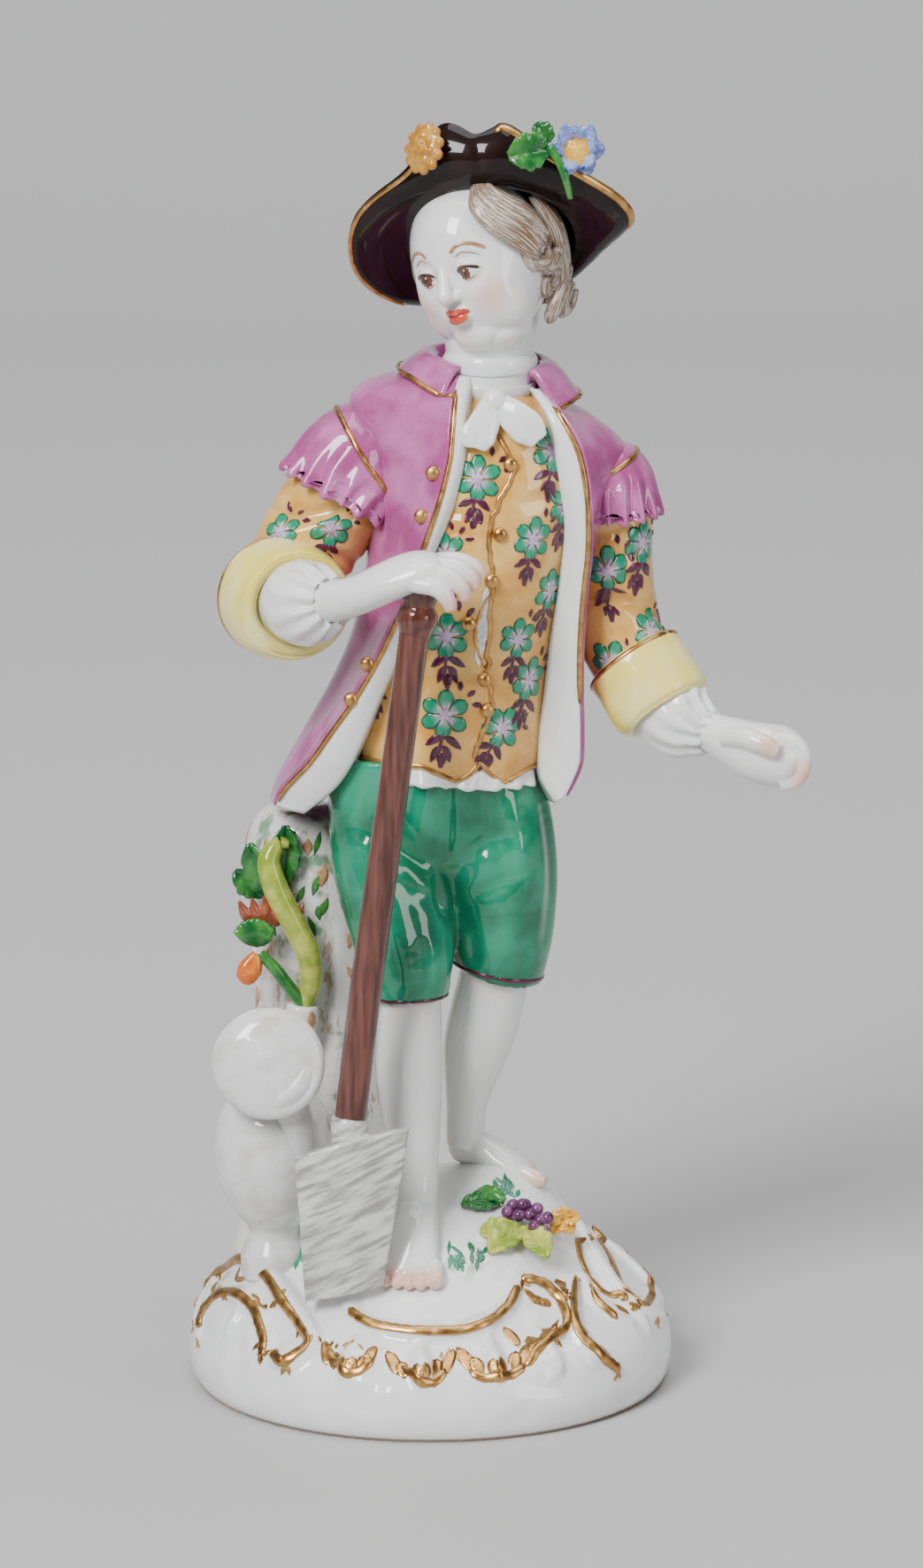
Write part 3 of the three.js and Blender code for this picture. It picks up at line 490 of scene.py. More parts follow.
# The mound.
mound = {
    "radius": (moundHigh.x - moundLow.x) / 2 / mm,
    "top": 21.0,
    "fall": 0.0065,
    "outline": [(0, 1), (0.23, 0.985), (0.41, 0.925), (0.57, 0.785), (0.72, 0.625), (0.87, 0.485),
                (0.96, 0.36),
                (1, 0.2), (0.992, 0.07), (0.962, 0.0)],
    "rises": [((9.5, 4), 10.5, 2.6), ((-17.4, -7.0), 12.0, 3.2)],  # under the rear foot and the can
}


def risen(x, y):
    total = 0
    for centre, radius, amount in mound["rises"]:
        near = max(0, 1 - math.hypot(x - centre[0], y - centre[1]) / radius)
        total += amount * near * near * (3 - 2 * near)
    return total


def moundSpot(bearing, share, lift=0.0):
    # A point of the mound: bearing from the front in degrees, share from the top (0) down to the foot (1).
    line = [Vector((r * mound["radius"], z * mound["top"])) for r, z in mound["outline"]]
    lengths = [(b - a).length for a, b in zip(line, line[1:])]
    left = share * sum(lengths)
    k = 0
    while k < len(lengths) - 1 and left > lengths[k]:
        left -= lengths[k]
        k += 1
    r, z = line[k].lerp(line[k + 1], left / lengths[k])
    angle = math.radians(bearing)
    x, y = (r + lift * 0.7) * math.sin(angle), -(r + lift * 0.7) * math.cos(angle)
    return Vector((x, y, z * (1 + mound["fall"] * y) + risen(x, y) + lift * 0.7))


def onMound(points):
    return [moundSpot(*p) for p in points]


scrolls = {  # ridges of the scrollwork: half width, then bearing and share along each
    "left": (1.0, [(-84, 0.83), (-91, 0.74), (-87, 0.67), (-75, 0.62), (-60, 0.605), (-48, 0.61),
                   (-39, 0.64), (-33, 0.69), (-36, 0.765), (-44, 0.77)]),
    "leftInner": (0.75, [(-74, 0.86), (-76, 0.78), (-68, 0.71), (-56, 0.69), (-47, 0.73), (-44, 0.80)]),
    "front": (0.85, [(-30, 0.53), (-20, 0.585), (-8, 0.61), (4, 0.61), (16, 0.595), (27, 0.545),
                     (35, 0.465)]),
    "flame": (0.95, [(36, 0.46), (44, 0.50), (48, 0.57), (44, 0.635), (36, 0.67), (27, 0.71)]),
    "right": (1.05, [(60, 0.52), (50, 0.575), (44, 0.66), (45, 0.76), (51, 0.84)]),
    "rightInner": (0.7, [(66, 0.53), (60, 0.60), (60, 0.68), (65, 0.74)]),
    "side": (1.0, [(98, 0.46), (88, 0.50), (78, 0.57), (72, 0.66), (75, 0.76), (84, 0.80)]),
    "sideOuter": (0.8, [(112, 0.56), (104, 0.64), (96, 0.72), (94, 0.80)]),
    "backLeft": (1.0, [(-112, 0.56), (-124, 0.52), (-138, 0.56), (-146, 0.66), (-140, 0.76), (-128, 0.78)]),
    "back": (1.0, [(-166, 0.60), (178, 0.56), (160, 0.54), (144, 0.60), (138, 0.70), (146, 0.78)]),
    "backInner": (0.7, [(-170, 0.74), (174, 0.70), (160, 0.70), (152, 0.76)]),
    "backRight": (0.9, [(118, 0.60), (126, 0.66), (128, 0.76), (120, 0.82)]),
}

gildedLines = [  # width, then bearing and share along each
    (1.15, [(-92, 0.80), (-98, 0.75), (-89, 0.68), (-76, 0.625), (-62, 0.605), (-49, 0.61), (-40, 0.64),
            (-34, 0.69), (-37, 0.76), (-42, 0.74)]),
    (1.05, [(-74, 0.82), (-75, 0.77), (-68, 0.70), (-56, 0.68), (-47, 0.72), (-45, 0.77)]),
    (0.95, [(-28, 0.55), (-19, 0.58), (-7, 0.595), (4, 0.60), (15, 0.59), (25, 0.54), (34, 0.48)]),
    (1.0, [(-28, 0.68), (-24, 0.73), (-19, 0.76), (-14, 0.70)]),
    (1.0, [(-7, 0.71), (-3, 0.77), (1, 0.775), (4, 0.72)]),
    (1.0, [(10, 0.73), (15, 0.77), (19, 0.765), (24, 0.73)]),
    (1.0, [(36, 0.46), (43, 0.50), (44, 0.58), (40, 0.65), (33, 0.67), (24, 0.735)]),
    (1.1, [(60, 0.53), (49, 0.58), (43, 0.67), (45, 0.76), (50, 0.83)]),
    (0.8, [(63, 0.56), (58, 0.61), (59, 0.69)]),
    (1.0, [(84, 0.46), (72, 0.50), (67, 0.58), (69, 0.66)]),
    (1.0, [(112, 0.55), (100, 0.57), (86, 0.59), (76, 0.64), (73, 0.71)]),
    (0.9, [(112, 0.66), (101, 0.70), (88, 0.72), (79, 0.71)]),
    (1.1, [(-110, 0.56), (-124, 0.52), (-138, 0.56), (-146, 0.66), (-140, 0.76), (-128, 0.78)]),
    (1.1, [(-164, 0.60), (178, 0.56), (160, 0.54), (144, 0.60), (138, 0.70), (146, 0.78)]),
    (0.8, [(-170, 0.74), (174, 0.70), (160, 0.70), (152, 0.76)]),
    (1.0, [(118, 0.60), (126, 0.66), (128, 0.76), (120, 0.82)]),
]
chance = random.Random(7)

bm = bmesh.new()
layersOf(bm)
outline = spline([(r * mound["radius"], z * mound["top"]) for r, z in mound["outline"]], 60)
profile = [bm.verts.new((max(0.0, r), 0, max(0.0, z))) for r, z in outline] + [bm.verts.new((0, 0, 0))]
lines = [bm.edges.new(pair) for pair in zip(profile, profile[1:])]
bmesh.ops.spin(bm, geom=profile + lines, cent=(0, 0, 0), axis=(0, 0, 1), angle=math.tau, steps=120,
               use_merge=True)
bmesh.ops.remove_doubles(bm, verts=bm.verts, dist=1e-4)
for v in bm.verts:
    v.co.z *= 1 + mound["fall"] * v.co.y
    v.co.z += risen(v.co.x, v.co.y) * min(1, max(0, (v.co.z - 4) / 5))
for half, points in scrolls.values():
    path = onMound(points)
    sizes = [half * (0.55 + 0.6 * math.sin(math.pi * (k + 0.4) / len(path))) for k in range(len(path))]
    tube([(*p, s) for p, s in zip(path, sizes)], sides=12, rows=30, front=(0, 0, 1), bm=bm)
for bearing, size in ((-21, 1.0), (-2, 1.1), (17, 1.0), (-60, 0.6), (33, 0.9), (70, 0.7), (-100, 0.8),
                      (120, 0.9), (165, 1.1)):
    drop = [(*moundSpot(bearing + d, s), w * size) for d, s,
            w in ((0, 0.63, 0.3), (0, 0.68, 0.8), (0, 0.73, 1.1), (0, 0.77, 0.9), (0, 0.80, 0.4))]
    tube(drop, sides=12, rows=12, front=(0, 0, 1), bm=bm)
bm = melded(bm, 0.34, 4)
ripples = [("swell", tuple(moundSpot(chance.uniform(-180, 180), chance.uniform(0.60, 0.93))),
            chance.uniform(1.8, 3.4), chance.uniform(-0.3, 0.5)) for _ in range(110)]
sculpt(bm, ripples)
groundSkin = skinOf(bm)
for v in bm.verts:
    if v.co.z < 0.25:
        v.co.z = 0
s = Shader("glazed mound", **glaze, Subsurface_Weight=0.2, Subsurface_Scale=0.8 * mm)
tone = s.blend(s.noise(0.12).between(0.35, 0.7), (0.80, 0.805, 0.80), (0.77, 0.775, 0.77))
grass = s.noise(0.5, 5.0, stretch=(1.4, 1, 0.5)).between(0.46, 0.6)
for spotAt, size in (((3.4, -12.4, 16.4), 4.2), ((-16.5, -7.5, 13.5), 3.4), ((5.5, -3.5, 20.4), 3.0),
                     ((14, 8, 17), 5), ((-4, 16, 17), 6)):
    tone = s.blend(s.near(spotAt, size) * grass * 0.9, tone, (0.05, 0.24, 0.09))
rim = s.height().between(0.55, 0.25)
moundPiece = keep("mound", bm, s.feed(Base_Color=s.blend(rim, tone, (0.30, 0.21, 0.15))),
                  ["mound_base"])
print("mound", len(moundPiece.data.polygons))

gilt = bmesh.new()
layersOf(gilt)
for width, points in gildedLines:
    trace(gilt, groundSkin, [p + (p - Vector((0, 0, 4))).normalized() * 1.2 for p in onMound(points)],
          width=width, height=0.12)
# short licks off the scrolls
for key in ("left", "leftInner", "flame", "right", "side", "backLeft", "back", "backRight"):
    for k, p in enumerate(onMound(scrolls[key][1])):
        for turn in (-0.6, 0.2):
            stroke(gilt, groundSkin, p + (p - Vector((0, 0, 4))).normalized() * 1.2,
                   (0, 0, 1 if k % 2 else -1), chance.uniform(0.9, 1.7), 0.55, turn + 0.4 * math.sin(5 * k))
for bearing, share, size in ((-21, 0.775, 1), (-2, 0.785, 1.05), (17, 0.78, 1.15), (-70, 0.675, 0.4),
                             (-81, 0.74, 0.4), (-52, 0.665, 0.45), (30, 0.70, 0.95),
                             (43, 0.575, 0.8), (47, 0.80, 0.5), (70, 0.72, 0.6), (120, 0.78, 0.9),
                             (165, 0.78, 1), (-128, 0.76, 0.9)):
    # a filled shell with horns
    for d, length in ((-5.5, 3.2), (-3.7, 2.2), (-1.9, 1.7), (0, 1.5), (1.9, 1.8), (3.7, 2.4), (5.5, 3.4)):
        base = moundSpot(bearing + d * size, share - 0.0007 * d * d * size, 1.0)
        stroke(gilt, groundSkin, base, (0, 0, 1), length * size, 1.35 * size, turn=0.05 * d, belly=0.45,
               bend=0.06 * d * size)
for k in range(8):
    stroke(gilt, groundSkin, moundSpot(-31 + 1.7 * k, 0.665 + 0.01 * math.sin(3 * k), 1.0), (0, 0, -1),
           0.8, 0.35)
    stroke(gilt, groundSkin, moundSpot(3 + 1.1 * k, 0.67 + 0.012 * math.sin(2 * k), 1.0), (0, 0, -1),
           0.9, 0.35)
keep("mound_gilding", sheeted(gilt), "gold", [f"scroll_{k}" for k in range(1, 9)])

grassStrokes = bmesh.new()
layersOf(grassStrokes)
for spot, spread in (((3.9, -13.6, 16.2), 1.9), ((-14.2, -10.6, 14.6), 1.2), ((12.6, 3.4, 21.2), 1.2),
                     ((8.6, -2.4, 21), 1.3)):
    for k in range(20):
        x, y = spot[0] + chance.uniform(-spread, spread), spot[1] + chance.uniform(-spread, spread)
        stroke(grassStrokes, groundSkin, (x, y, spot[2] + 1), (0.3 * math.sin(2 * k), 0.2, 1),
               chance.uniform(1.2, 2.2), chance.uniform(0.35, 0.6), chance.uniform(-0.5, 0.5))
keep("mound_grass", sheeted(grassStrokes), "emerald")

# Legs and feet.
fleshTint = (0.76, 0.43, 0.31)
legs = {
    "right": {
        "leg": [(-2.0, -5.0, 50, 3.4, 3.6), (-2.1, -5.6, 44, 3.3, 3.6), (-2.2, -6.0, 39.5, 3.5, 3.9),
                (-2.2, -6.2, 35, 3.55, 3.9),
                (-1.9, -6.7, 29, 3.0, 3.1), (-1.6, -7.2, 25, 2.45, 2.6), (-1.5, -7.6, 22.5, 2.35, 2.7),
                (-1.5, -7.8, 20.4, 2.2, 2.5)],
        "foot": [(-1.5, -5.7, 21.1, 1.4, 1.3), (-1.5, -7.0, 21.0, 2.2, 2.0),
                 (-1.6, -9.6, 20.2, 2.4, 2.2), (-1.9, -12.2, 17.9, 2.9, 1.9),
                 (-2.1, -14.2, 15.9, 3.1, 1.2), (-2.1, -15.0, 15.1, 2.7, 0.8)],
        "toes": [(-4.7, -15.2, 14.8, 0.62), (-3.5, -15.7, 14.8, 0.66), (-2.25, -16.0, 14.8, 0.7),
                 (-0.95, -16.1, 14.8, 0.74), (0.6, -16.0, 15.0, 0.98)],
        "way": (-0.05, -1, -0.36),
        "knee": (-2.1, -9.4, 44.5),
    },
    "left": {
        "leg": [(7.2, 0.8, 50, 3.9, 4.0), (6.9, 1.4, 44.5, 3.8, 4.0), (6.0, 2.2, 40, 3.9, 4.1),
                (5.0, 3.0, 36, 3.6, 3.8),
                (4.2, 4.0, 31.5, 2.7, 3.0), (3.9, 4.8, 28.6, 2.2, 2.4), (3.8, 5.2, 26.4, 2.15, 2.4),
                (3.7, 5.4, 24.4, 2.0, 2.2)],
        "foot": [(2.4, 6.5, 24.2, 1.3, 1.3), (3.3, 6.1, 24.2, 2.1, 1.9), (5.8, 5.1, 23.8, 2.3, 1.9),
                 (8.2, 4.2, 22.8, 2.5, 1.6),
                 (10.0, 3.5, 22.0, 2.5, 1.1), (10.7, 3.2, 21.6, 2.2, 0.8)],
        "toes": [(10.8, 5.3, 21.4, 0.56), (11.4, 4.4, 21.3, 0.6), (11.8, 3.4, 21.3, 0.64),
                 (12.1, 2.3, 21.3, 0.7), (11.9, 1.0, 21.5, 0.92)],
        "way": (1, -0.3, -0.2),
        "knee": (6.8, -2.6, 45.5),
    },
}
for side, leg in legs.items():
    bm = loft(leg["leg"], sides=32, rows=40)
    loft(leg["foot"], sides=28, rows=26, front=(0, 0, 1), bm=bm)
    way = Vector(leg["way"]).normalized()
    for x, y, z, r in leg["toes"]:
        tip = Vector((x, y, z))
        tube([(*(tip - way * 2.2 + up * 0.55), r * 0.8), (*(tip - way * 0.9 + up * 0.2), r),
              (*tip, r * 1.02), (*(tip + way * 0.75), r * 0.62)],
             sides=14, rows=12, front=(0, 0, 1), bm=bm)
    bm = melded(bm, 0.17, 1)
    tints = [((x, y, z), 2.4, 0.95, fleshTint) for x, y, z, r in leg["toes"]]
    tints += [(leg["knee"], 4.5, 0.25, fleshTint), (leg["foot"][0][:3], 3.2, 0.3, fleshTint)]
    keep(f"leg_{side}", bm, whiteGlaze(f"tinted leg {side}", tints), [f"leg_{side}"])
print("legs")

# Breeches, with soft folds that run out of the crotch and hang from the waist.
breeches = {
    "hips": [(1.8, 0.2, 74.5, 9.2, 7.5), (1.6, 0.3, 70, 10.0, 7.9), (1.0, 0.5, 64, 11.7, 8.1),
             (0.9, 0.4, 59, 10.6, 7.2), (1.2, 0, 55.5, 6, 4.6)],
    "right": [(-4.4, 0, 69, 6.2, 7.2), (-4.8, -0.6, 63, 6.2, 7.0), (-4.1, -2.2, 57, 6.3, 6.7),
              (-3.0, -4.0, 51, 5.7, 6.0),
              (-2.3, -5.3, 46.8, 4.9, 5.1), (-2.1, -5.7, 43.6, 4.0, 4.3)],
    "left": [(5.4, 0.8, 69, 5.6, 6.2), (6.8, 0.3, 63, 6.2, 6.8), (7.4, 0, 57, 6.4, 6.7),
             (7.5, 0.3, 51.5, 6.1, 6.3),
             (7.3, 0.9, 48, 5.7, 5.8), (7.2, 1.3, 45.2, 5.0, 5.1)],
}
bm = loft(breeches["hips"], sides=48, rows=40)
for side in ("right", "left"):
    loft(breeches[side], sides=40, rows=44, bm=bm)
bm = melded(bm, 0.33, 3)
folds = [
    ([(2.0, -8.5, 71), (1.9, -8.4, 64), (1.6, -7.4, 57), (1.5, -6.0, 52)], 1.2, -0.9),
    ([(2.6, -7.6, 58), (5.5, -7.0, 60.5), (9.5, -5.2, 62)], 1.3, -0.55),
    ([(2.4, -7.2, 55), (6, -6.6, 55.6), (10.5, -5.0, 58)], 1.3, -0.45),
    ([(0.6, -7.8, 58), (-3, -8.0, 60.5), (-7.5, -6.6, 62.5)], 1.2, -0.5),
    ([(0.4, -7.4, 54.5), (-3.2, -8.0, 56.4), (-7, -6.6, 59.5)], 1.2, -0.45),
    ([(-6, -7.4, 68), (-6.8, -7.2, 60), (-5.6, -8.0, 52), (-3.6, -9.6, 46)], 1.5, -0.5),
    ([(-2.4, -8.8, 69), (-3.0, -8.8, 64)], 1.2, -0.5),
    ([(6.5, -8.0, 68), (7.6, -7.0, 62), (8.4, -6.2, 55)], 1.4, -0.45),
    ([(11.6, -2.5, 66), (12.6, -2.4, 58), (12.4, -2.6, 50)], 1.6, -0.5),
    ([(4.2, -5.2, 51), (4.6, -4.4, 47)], 1.3, -0.5),
    ([(9.4, -4.8, 52), (9.8, -3.6, 47)], 1.3, -0.5),
    ([(-1.2, -9.2, 50), (-0.9, -9.0, 45.4)], 1.2, -0.45),
    ([(-8, 6, 70), (-6, 8, 62), (-4, 4, 54)], 1.6, -0.6),
    ([(2, 9, 72), (1.5, 9, 62), (1.4, 6, 55)], 1.4, -0.9),
    ([(8, 6.5, 70), (9, 6, 62), (9, 5, 54)], 1.6, -0.6),
    ([(-5.2, -8.3, 66), (-4.6, -9.2, 56), (-2.6, -10.6, 48)], 1.7, 0.5),
    ([(8.8, -6.4, 66), (9.6, -6.0, 57), (8.6, -4.8, 50)], 1.8, 0.5),
]
sculpt(bm, [("crease", line, width * 1.4, amount * 1.25) for line, width, amount in folds])
for v in bm.verts:  # the left leg's hem drops toward the outside
    if v.co.x > 2.2 and v.co.z < 50:
        v.co.z -= 0.2 * (v.co.x - 7.2) * (50 - v.co.z) / 5
softened(bm)
breechesSkin = skinOf(bm)
keep("breeches", bm, "emerald", ["breeches"])
hems = bmesh.new()
for cx, cy, z, a, b, slope in ((-2.1, -5.7, 43.9, 4.1, 4.4, 0), (7.2, 1.3, 45.5, 5.1, 5.2, 0.2)):
    ring = [Vector((cx + a * math.sin(t), cy - b * math.cos(t), z - slope * a * math.sin(t)))
            for t in np.linspace(0, math.tau, 17)]
    trace(hems, breechesSkin, ring, width=0.55, height=0.16)
keep("breeches_hems", hems, "maroon")
print("breeches")


def pleated(bm, waves, depth, start=0.0, phase=0.0):  # gathers that deepen away from the start of a loft
    alongLayer, acrossLayer = layersOf(bm)
    bmesh.ops.recalc_face_normals(bm, faces=bm.faces)
    spots = [v.co + v.normal * depth * max(0, (v[alongLayer] - start) / (1 - start)) ** 1.3
             * math.sin(v[acrossLayer] * math.pi * waves + phase + 3 * v[alongLayer]) for v in bm.verts]
    for v, spot in zip(bm.verts, spots):
        v.co = spot
    return bm


def sunkEnd(bm, rim, depth):  # hollows the end that a loft finished on
    face = [f for f in bm.faces if len(f.verts) > 8][-1]
    way = (face.calc_center_median() - next(iter(bm.verts)).co).normalized()
    bmesh.ops.inset_region(bm, faces=[face], thickness=rim)
    made = bmesh.ops.extrude_face_region(bm, geom=[face])["geom"]
    bmesh.ops.translate(bm, vec=-way * depth, verts=[g for g in made if isinstance(g, bmesh.types.BMVert)])
    bmesh.ops.delete(bm, geom=[face], context="FACES_ONLY")
    return bm


def sheet(rule, across, along, closed=False):  # a grid laid out by a rule of two shares
    bm = bmesh.new()
    alongLayer, acrossLayer = layersOf(bm)
    bmesh.ops.create_grid(bm, x_segments=across, y_segments=along, size=0.5)
    for v in bm.verts:
        u, w = v.co.x + 0.5, v.co.y + 0.5
        v[alongLayer], v[acrossLayer] = w, u
        v.co = rule(u, w)
    if closed:
        bmesh.ops.remove_doubles(bm, verts=bm.verts, dist=0.01)
    return bm


# Shirt and waistcoat.
bm = loft([(1.9, 0.1, 72.5, 9.0, 7.4), (1.9, 0.1, 70.5, 9.5, 7.9), (1.8, 0.1, 68.8, 9.9, 8.3),
           (1.7, 0.1, 67.3, 10.4, 8.8)],
          sides=180, rows=24)
keep("shirt_hem", pleated(bm, 21, 0.26, 0.2), "white", ["shirt_tail"])

waistcoat = {
    "body": [(1.7, 0.2, 67.4, 10.2, 8.5), (1.9, 0.1, 70, 10.5, 8.8), (2.3, 0.0, 75, 10.2, 8.9),
             (3.4, -0.1, 83, 9.9, 9.2), (4.8, -0.2, 91, 10.2, 9.6),
             (5.8, -0.2, 97, 10.6, 9.5), (6.2, -0.1, 102, 10.0, 8.6), (6.3, 0.0, 106, 7.4, 6.9),
             (6.3, 0.1, 109, 4.6, 4.6)],
    "seam": [(7.2, -9, 106.6), (9.0, -9, 101.9), (7.3, -10, 98.1), (6.6, -10, 94.3), (7.0, -10, 89.8),
             (6.5, -10, 86.8), (6.6, -10, 83.5), (6.3, -9, 80.6),
             (7.0, -9, 76.3), (5.6, -9, 72.6), (5.0, -9, 70.4)],
    "gap": [(6.6, -10, 88.6), (5.3, -10, 86.2), (4.9, -10, 83.6), (5.6, -9, 81.0), (6.3, -9, 80.0)],
    "buttons": [(9.4, 102.9), (7.4, 95.0), (7.2, 90.0), (7.0, 79.2), (6.9, 75.6), (4.3, 85.4)],
    "sprigs": [(5.1, 100.9, 0.1), (10.7, 94.2, 0.15), (1.9, 92.8, -0.2), (1.9, 84.0, 0.0),
               (9.9, 83.2, 0.1), (1.7, 75.4, 0.1),
               (8.6, 73.6, 0.5), (13.4, 103.6, 0.3), (14.2, 97.4, 0.2), (13.6, 88.0, 0.1),
               (-5.7, 79, -0.3), (-4.4, 87.0, 0.1), (12.2, 78.4, 0.2)],
}
bm = loft(waistcoat["body"], sides=120, rows=110)
for v in bm.verts:  # the hem dips to a point on each side of the opening
    if v.co.z < 78 and v.co.y < 0:
        x = v.co.x
        dip = max(0, 1 - abs(x - 2.6) / 3.4) * 1.5 + max(0, 1 - abs(x - 8.0) / 2.6) * 1.3 - max(0,
                1 - abs(x - 5.3) / 1.2) * 1.0
        v.co.z += (2.3 - dip - 0.12 * abs(x - 2) * 0.6) * (78 - v.co.z) / 10.6
sculpt(bm, [
    ("crease", waistcoat["seam"], 1.0, -0.55),
    ("crease", [(x - 1.1, y, z) for x, y, z in waistcoat["seam"]], 1.2, 0.3),
    ("crease", waistcoat["gap"], 0.8, -0.3),
    ("crease", [(7.5, -10, 91), (10.5, -9, 89.6), (14, -6, 90.6)], 1.4, -0.35),
    ("crease", [(6.8, -10, 84), (3.4, -9.5, 87.2), (-1.5, -7.5, 88)], 1.4, -0.4),
    ("crease", [(6.8, -10, 81), (10, -9, 79.4), (13, -6, 80.6)], 1.3, -0.4),
    ("crease", [(6.6, -9.5, 78), (3, -9, 79.8), (-2, -8, 79.4)], 1.3, -0.4),
    ("crease", [(8.2, -10, 99), (11, -9, 98.2), (14.5, -6, 99.5)], 1.4, -0.3),
    ("crease", [(6.6, -10, 96), (3.4, -9.6, 97.4), (0.4, -8.6, 96.8)], 1.3, -0.3),
    ("crease", [(9.6, -9, 86), (9.8, -9, 80), (10.4, -8.6, 74)], 1.5, -0.35),
    ("crease", [(-0.2, -9, 86), (-1.6, -9, 80), (-2.2, -9, 74)], 1.5, -0.35),
    ("swell", (3.6, -9, 90), 5.0, 0.3),
    ("swell", (10.6, -8.6, 92), 4.6, 0.3),
])
vestSkin = skinOf(bm)
hem = sorted((v.co + Vector((0, 0, 0.3)) for v in bm.verts if v[layersOf(bm)[0]] < 0.001 and v.co.y < 0),
             key=lambda p: p.x)
keep("waistcoat", bm, "straw", ["waistcoat"])
bm = bmesh.new()
for k in range(7):
    z = 81.2 + k * 1.05
    stroke(bm, vestSkin, (5.7 + 0.05 * k, -10, z - 0.6), (0, 0, 1), 2.4, 1.5 - 0.22 * abs(k - 3), lift=0.07)
keep("shirt_gap", sheeted(bm), "white")

paint = {name: bmesh.new() for name in ("petal", "lilac", "maroon", "gold")}


def sprig(skin, centre, tilt=0.0, size=1.0, lean=(0, 0, 1)):  # a six-petalled flower above leafy sprays
    size *= chance.uniform(1.02, 1.22)
    for k in range(6):
        angle = tilt + k * math.tau / 6 + chance.uniform(-0.12, 0.12)
        start = (0.4 * size * math.sin(angle), 0.4 * size * math.cos(angle))
        stroke(paint["petal"], skin, centre, lean, size * chance.uniform(1.7, 1.95), 1.5 * size, angle,
               start, belly="petal", cells=10)
        stroke(paint["lilac"], skin, centre, lean, 0.8 * size, 0.3 * size, angle + 0.5, start, 0.1)
    for k in range(5):
        stroke(paint["lilac"], skin, centre, lean, 0.65 * size, 0.5 * size, tilt + k * math.tau / 5,
               (0, 0), 0.1)
    base = math.pi + tilt
    root = (1.5 * size * math.sin(base), 1.5 * size * math.cos(base))
    stroke(paint["maroon"], skin, centre, lean, 2.5 * size, 0.3 * size, base + 0.1, root, 0.05, bend=0.3)
    for side in (-1, 1):
        for j, spread, length in ((0.5, 1.3, 1.9), (1.3, 0.8, 1.7), (2.0, 0.3, 1.3)):
            at = (root[0] + j * size * math.sin(base), root[1] + j * size * math.cos(base))
            stroke(paint["maroon"], skin, centre, lean, length * size * chance.uniform(0.85, 1.1),
                   0.75 * size, base + side * spread, at, 0.06,
                   bend=-0.5 * side * size, belly=0.7)
    for k in range(3):
        angle = tilt + 0.45 + 0.33 * k
        at = (2.55 * size * math.sin(angle), 2.55 * size * math.cos(angle))
        stroke(paint["maroon"], skin, centre, lean, 0.95 * size, 0.5 * size, angle + 0.5 * (k - 1), at,
               0.06, belly=0.7)


for x, z, tilt in waistcoat["sprigs"]:
    sprig(vestSkin, (x, -9.5 + 0.045 * (x - 5) ** 2, z), tilt)
trace(paint["gold"], vestSkin, waistcoat["seam"], width=0.62, height=0.24)
trace(paint["gold"], vestSkin, waistcoat["gap"], width=0.42, height=0.2)
trace(paint["gold"], vestSkin, hem, width=0.6, height=0.26, bare=True)
for x, z in waistcoat["buttons"]:
    spot, normal, _, _ = vestSkin.find_nearest(Vector((x, -10.5, z)))
    ball(spot + normal * 0.25, (0.78, 0.5, 0.78), 3, paint["gold"])
print("waistcoat")

# Coat: rows of height, middle x and y, reach to each side and to the back, then its two front edges.
coat = {
    "rows": [(110.4, 6.3, 1.0, 5.2, 5.2, 5.0, 3.2, -4.2, 11.6, -3.6),
             (109.0, 6.2, 1.0, 7.8, 7.6, 6.0, 2.8, -6.4, 13.2, -5.2),
             (107.4, 6.2, 1.0, 12.0, 11.4, 6.9, 2.6, -7.9, 14.6, -6.4),
             (105.2, 6.2, 1.0, 14.3, 14.4, 7.6, 2.4, -8.8, 15.8, -7.0),
             (102.0, 6.1, 1.0, 13.6, 14.4, 8.4, 2.1, -9.6, 16.5, -7.4),
             (98, 5.9, 1.0, 12.2, 13.0, 9.2, 1.1, -10.2, 16.8, -7.6),
             (93, 5.3, 1.0, 11.4, 12.4, 9.6, -0.7, -10.3, 16.8, -7.4),
             (87.4, 4.6, 1.0, 11.4, 11.8, 9.6, -2.8, -10.2, 16.3, -6.9),
             (82, 3.9, 1.1, 12.0, 11.8, 9.7, -5.2, -9.8, 16.0, -6.5),
             (77, 3.0, 1.3, 13.2, 12.4, 9.9, -8.0, -8.9, 16.0, -6.2),
             (73, 2.2, 1.6, 14.6, 13.0, 10.3, -10.7, -7.9, 16.1, -6.0),
             (69, 1.4, 2.0, 16.0, 13.6, 10.8, -13.2, -6.6, 16.0, -5.6),
             (65.2, 0.6, 2.4, 17.0, 13.8, 11.4, -15.6, -5.0, 15.2, -5.2),
             (62.5, 0.2, 2.8, 17.2, 13.6, 11.9, -16.4, -3.6, 14.4, -5.0)],
    "inner": [(110.4, 4.2, -4.6, 11.0, -4.0), (107.4, 3.6, -8.0, 13.0, -6.6),
              (102, 3.4, -9.2, 13.9, -6.6), (96, 1.8, -9.6, 14.6, -6.4), (89.3, -1.2, -9.4, 14.2, -5.6),
              (81.7, -3.6, -9.2, 13.3, -4.9), (76.9, -5.6, -8.6, 12.8, -4.6),
              (71.2, -7.9, -7.6, 12.0, -4.2), (66.4, -10.2, -6.2, 12.2, -4.4),
              (62.5, -13.6, -4.6, 13.6, -4.6)],
    "thickness": 1.0,
}
coatRows = spline(coat["rows"], 90)
innerRows = spline(coat["inner"], 90)


def shoulderDrop(x, z):  # the shoulder over the spade is held higher than the other
    return -0.19 * (x - 6.3) * min(1, max(0, (z - 90) / 11))


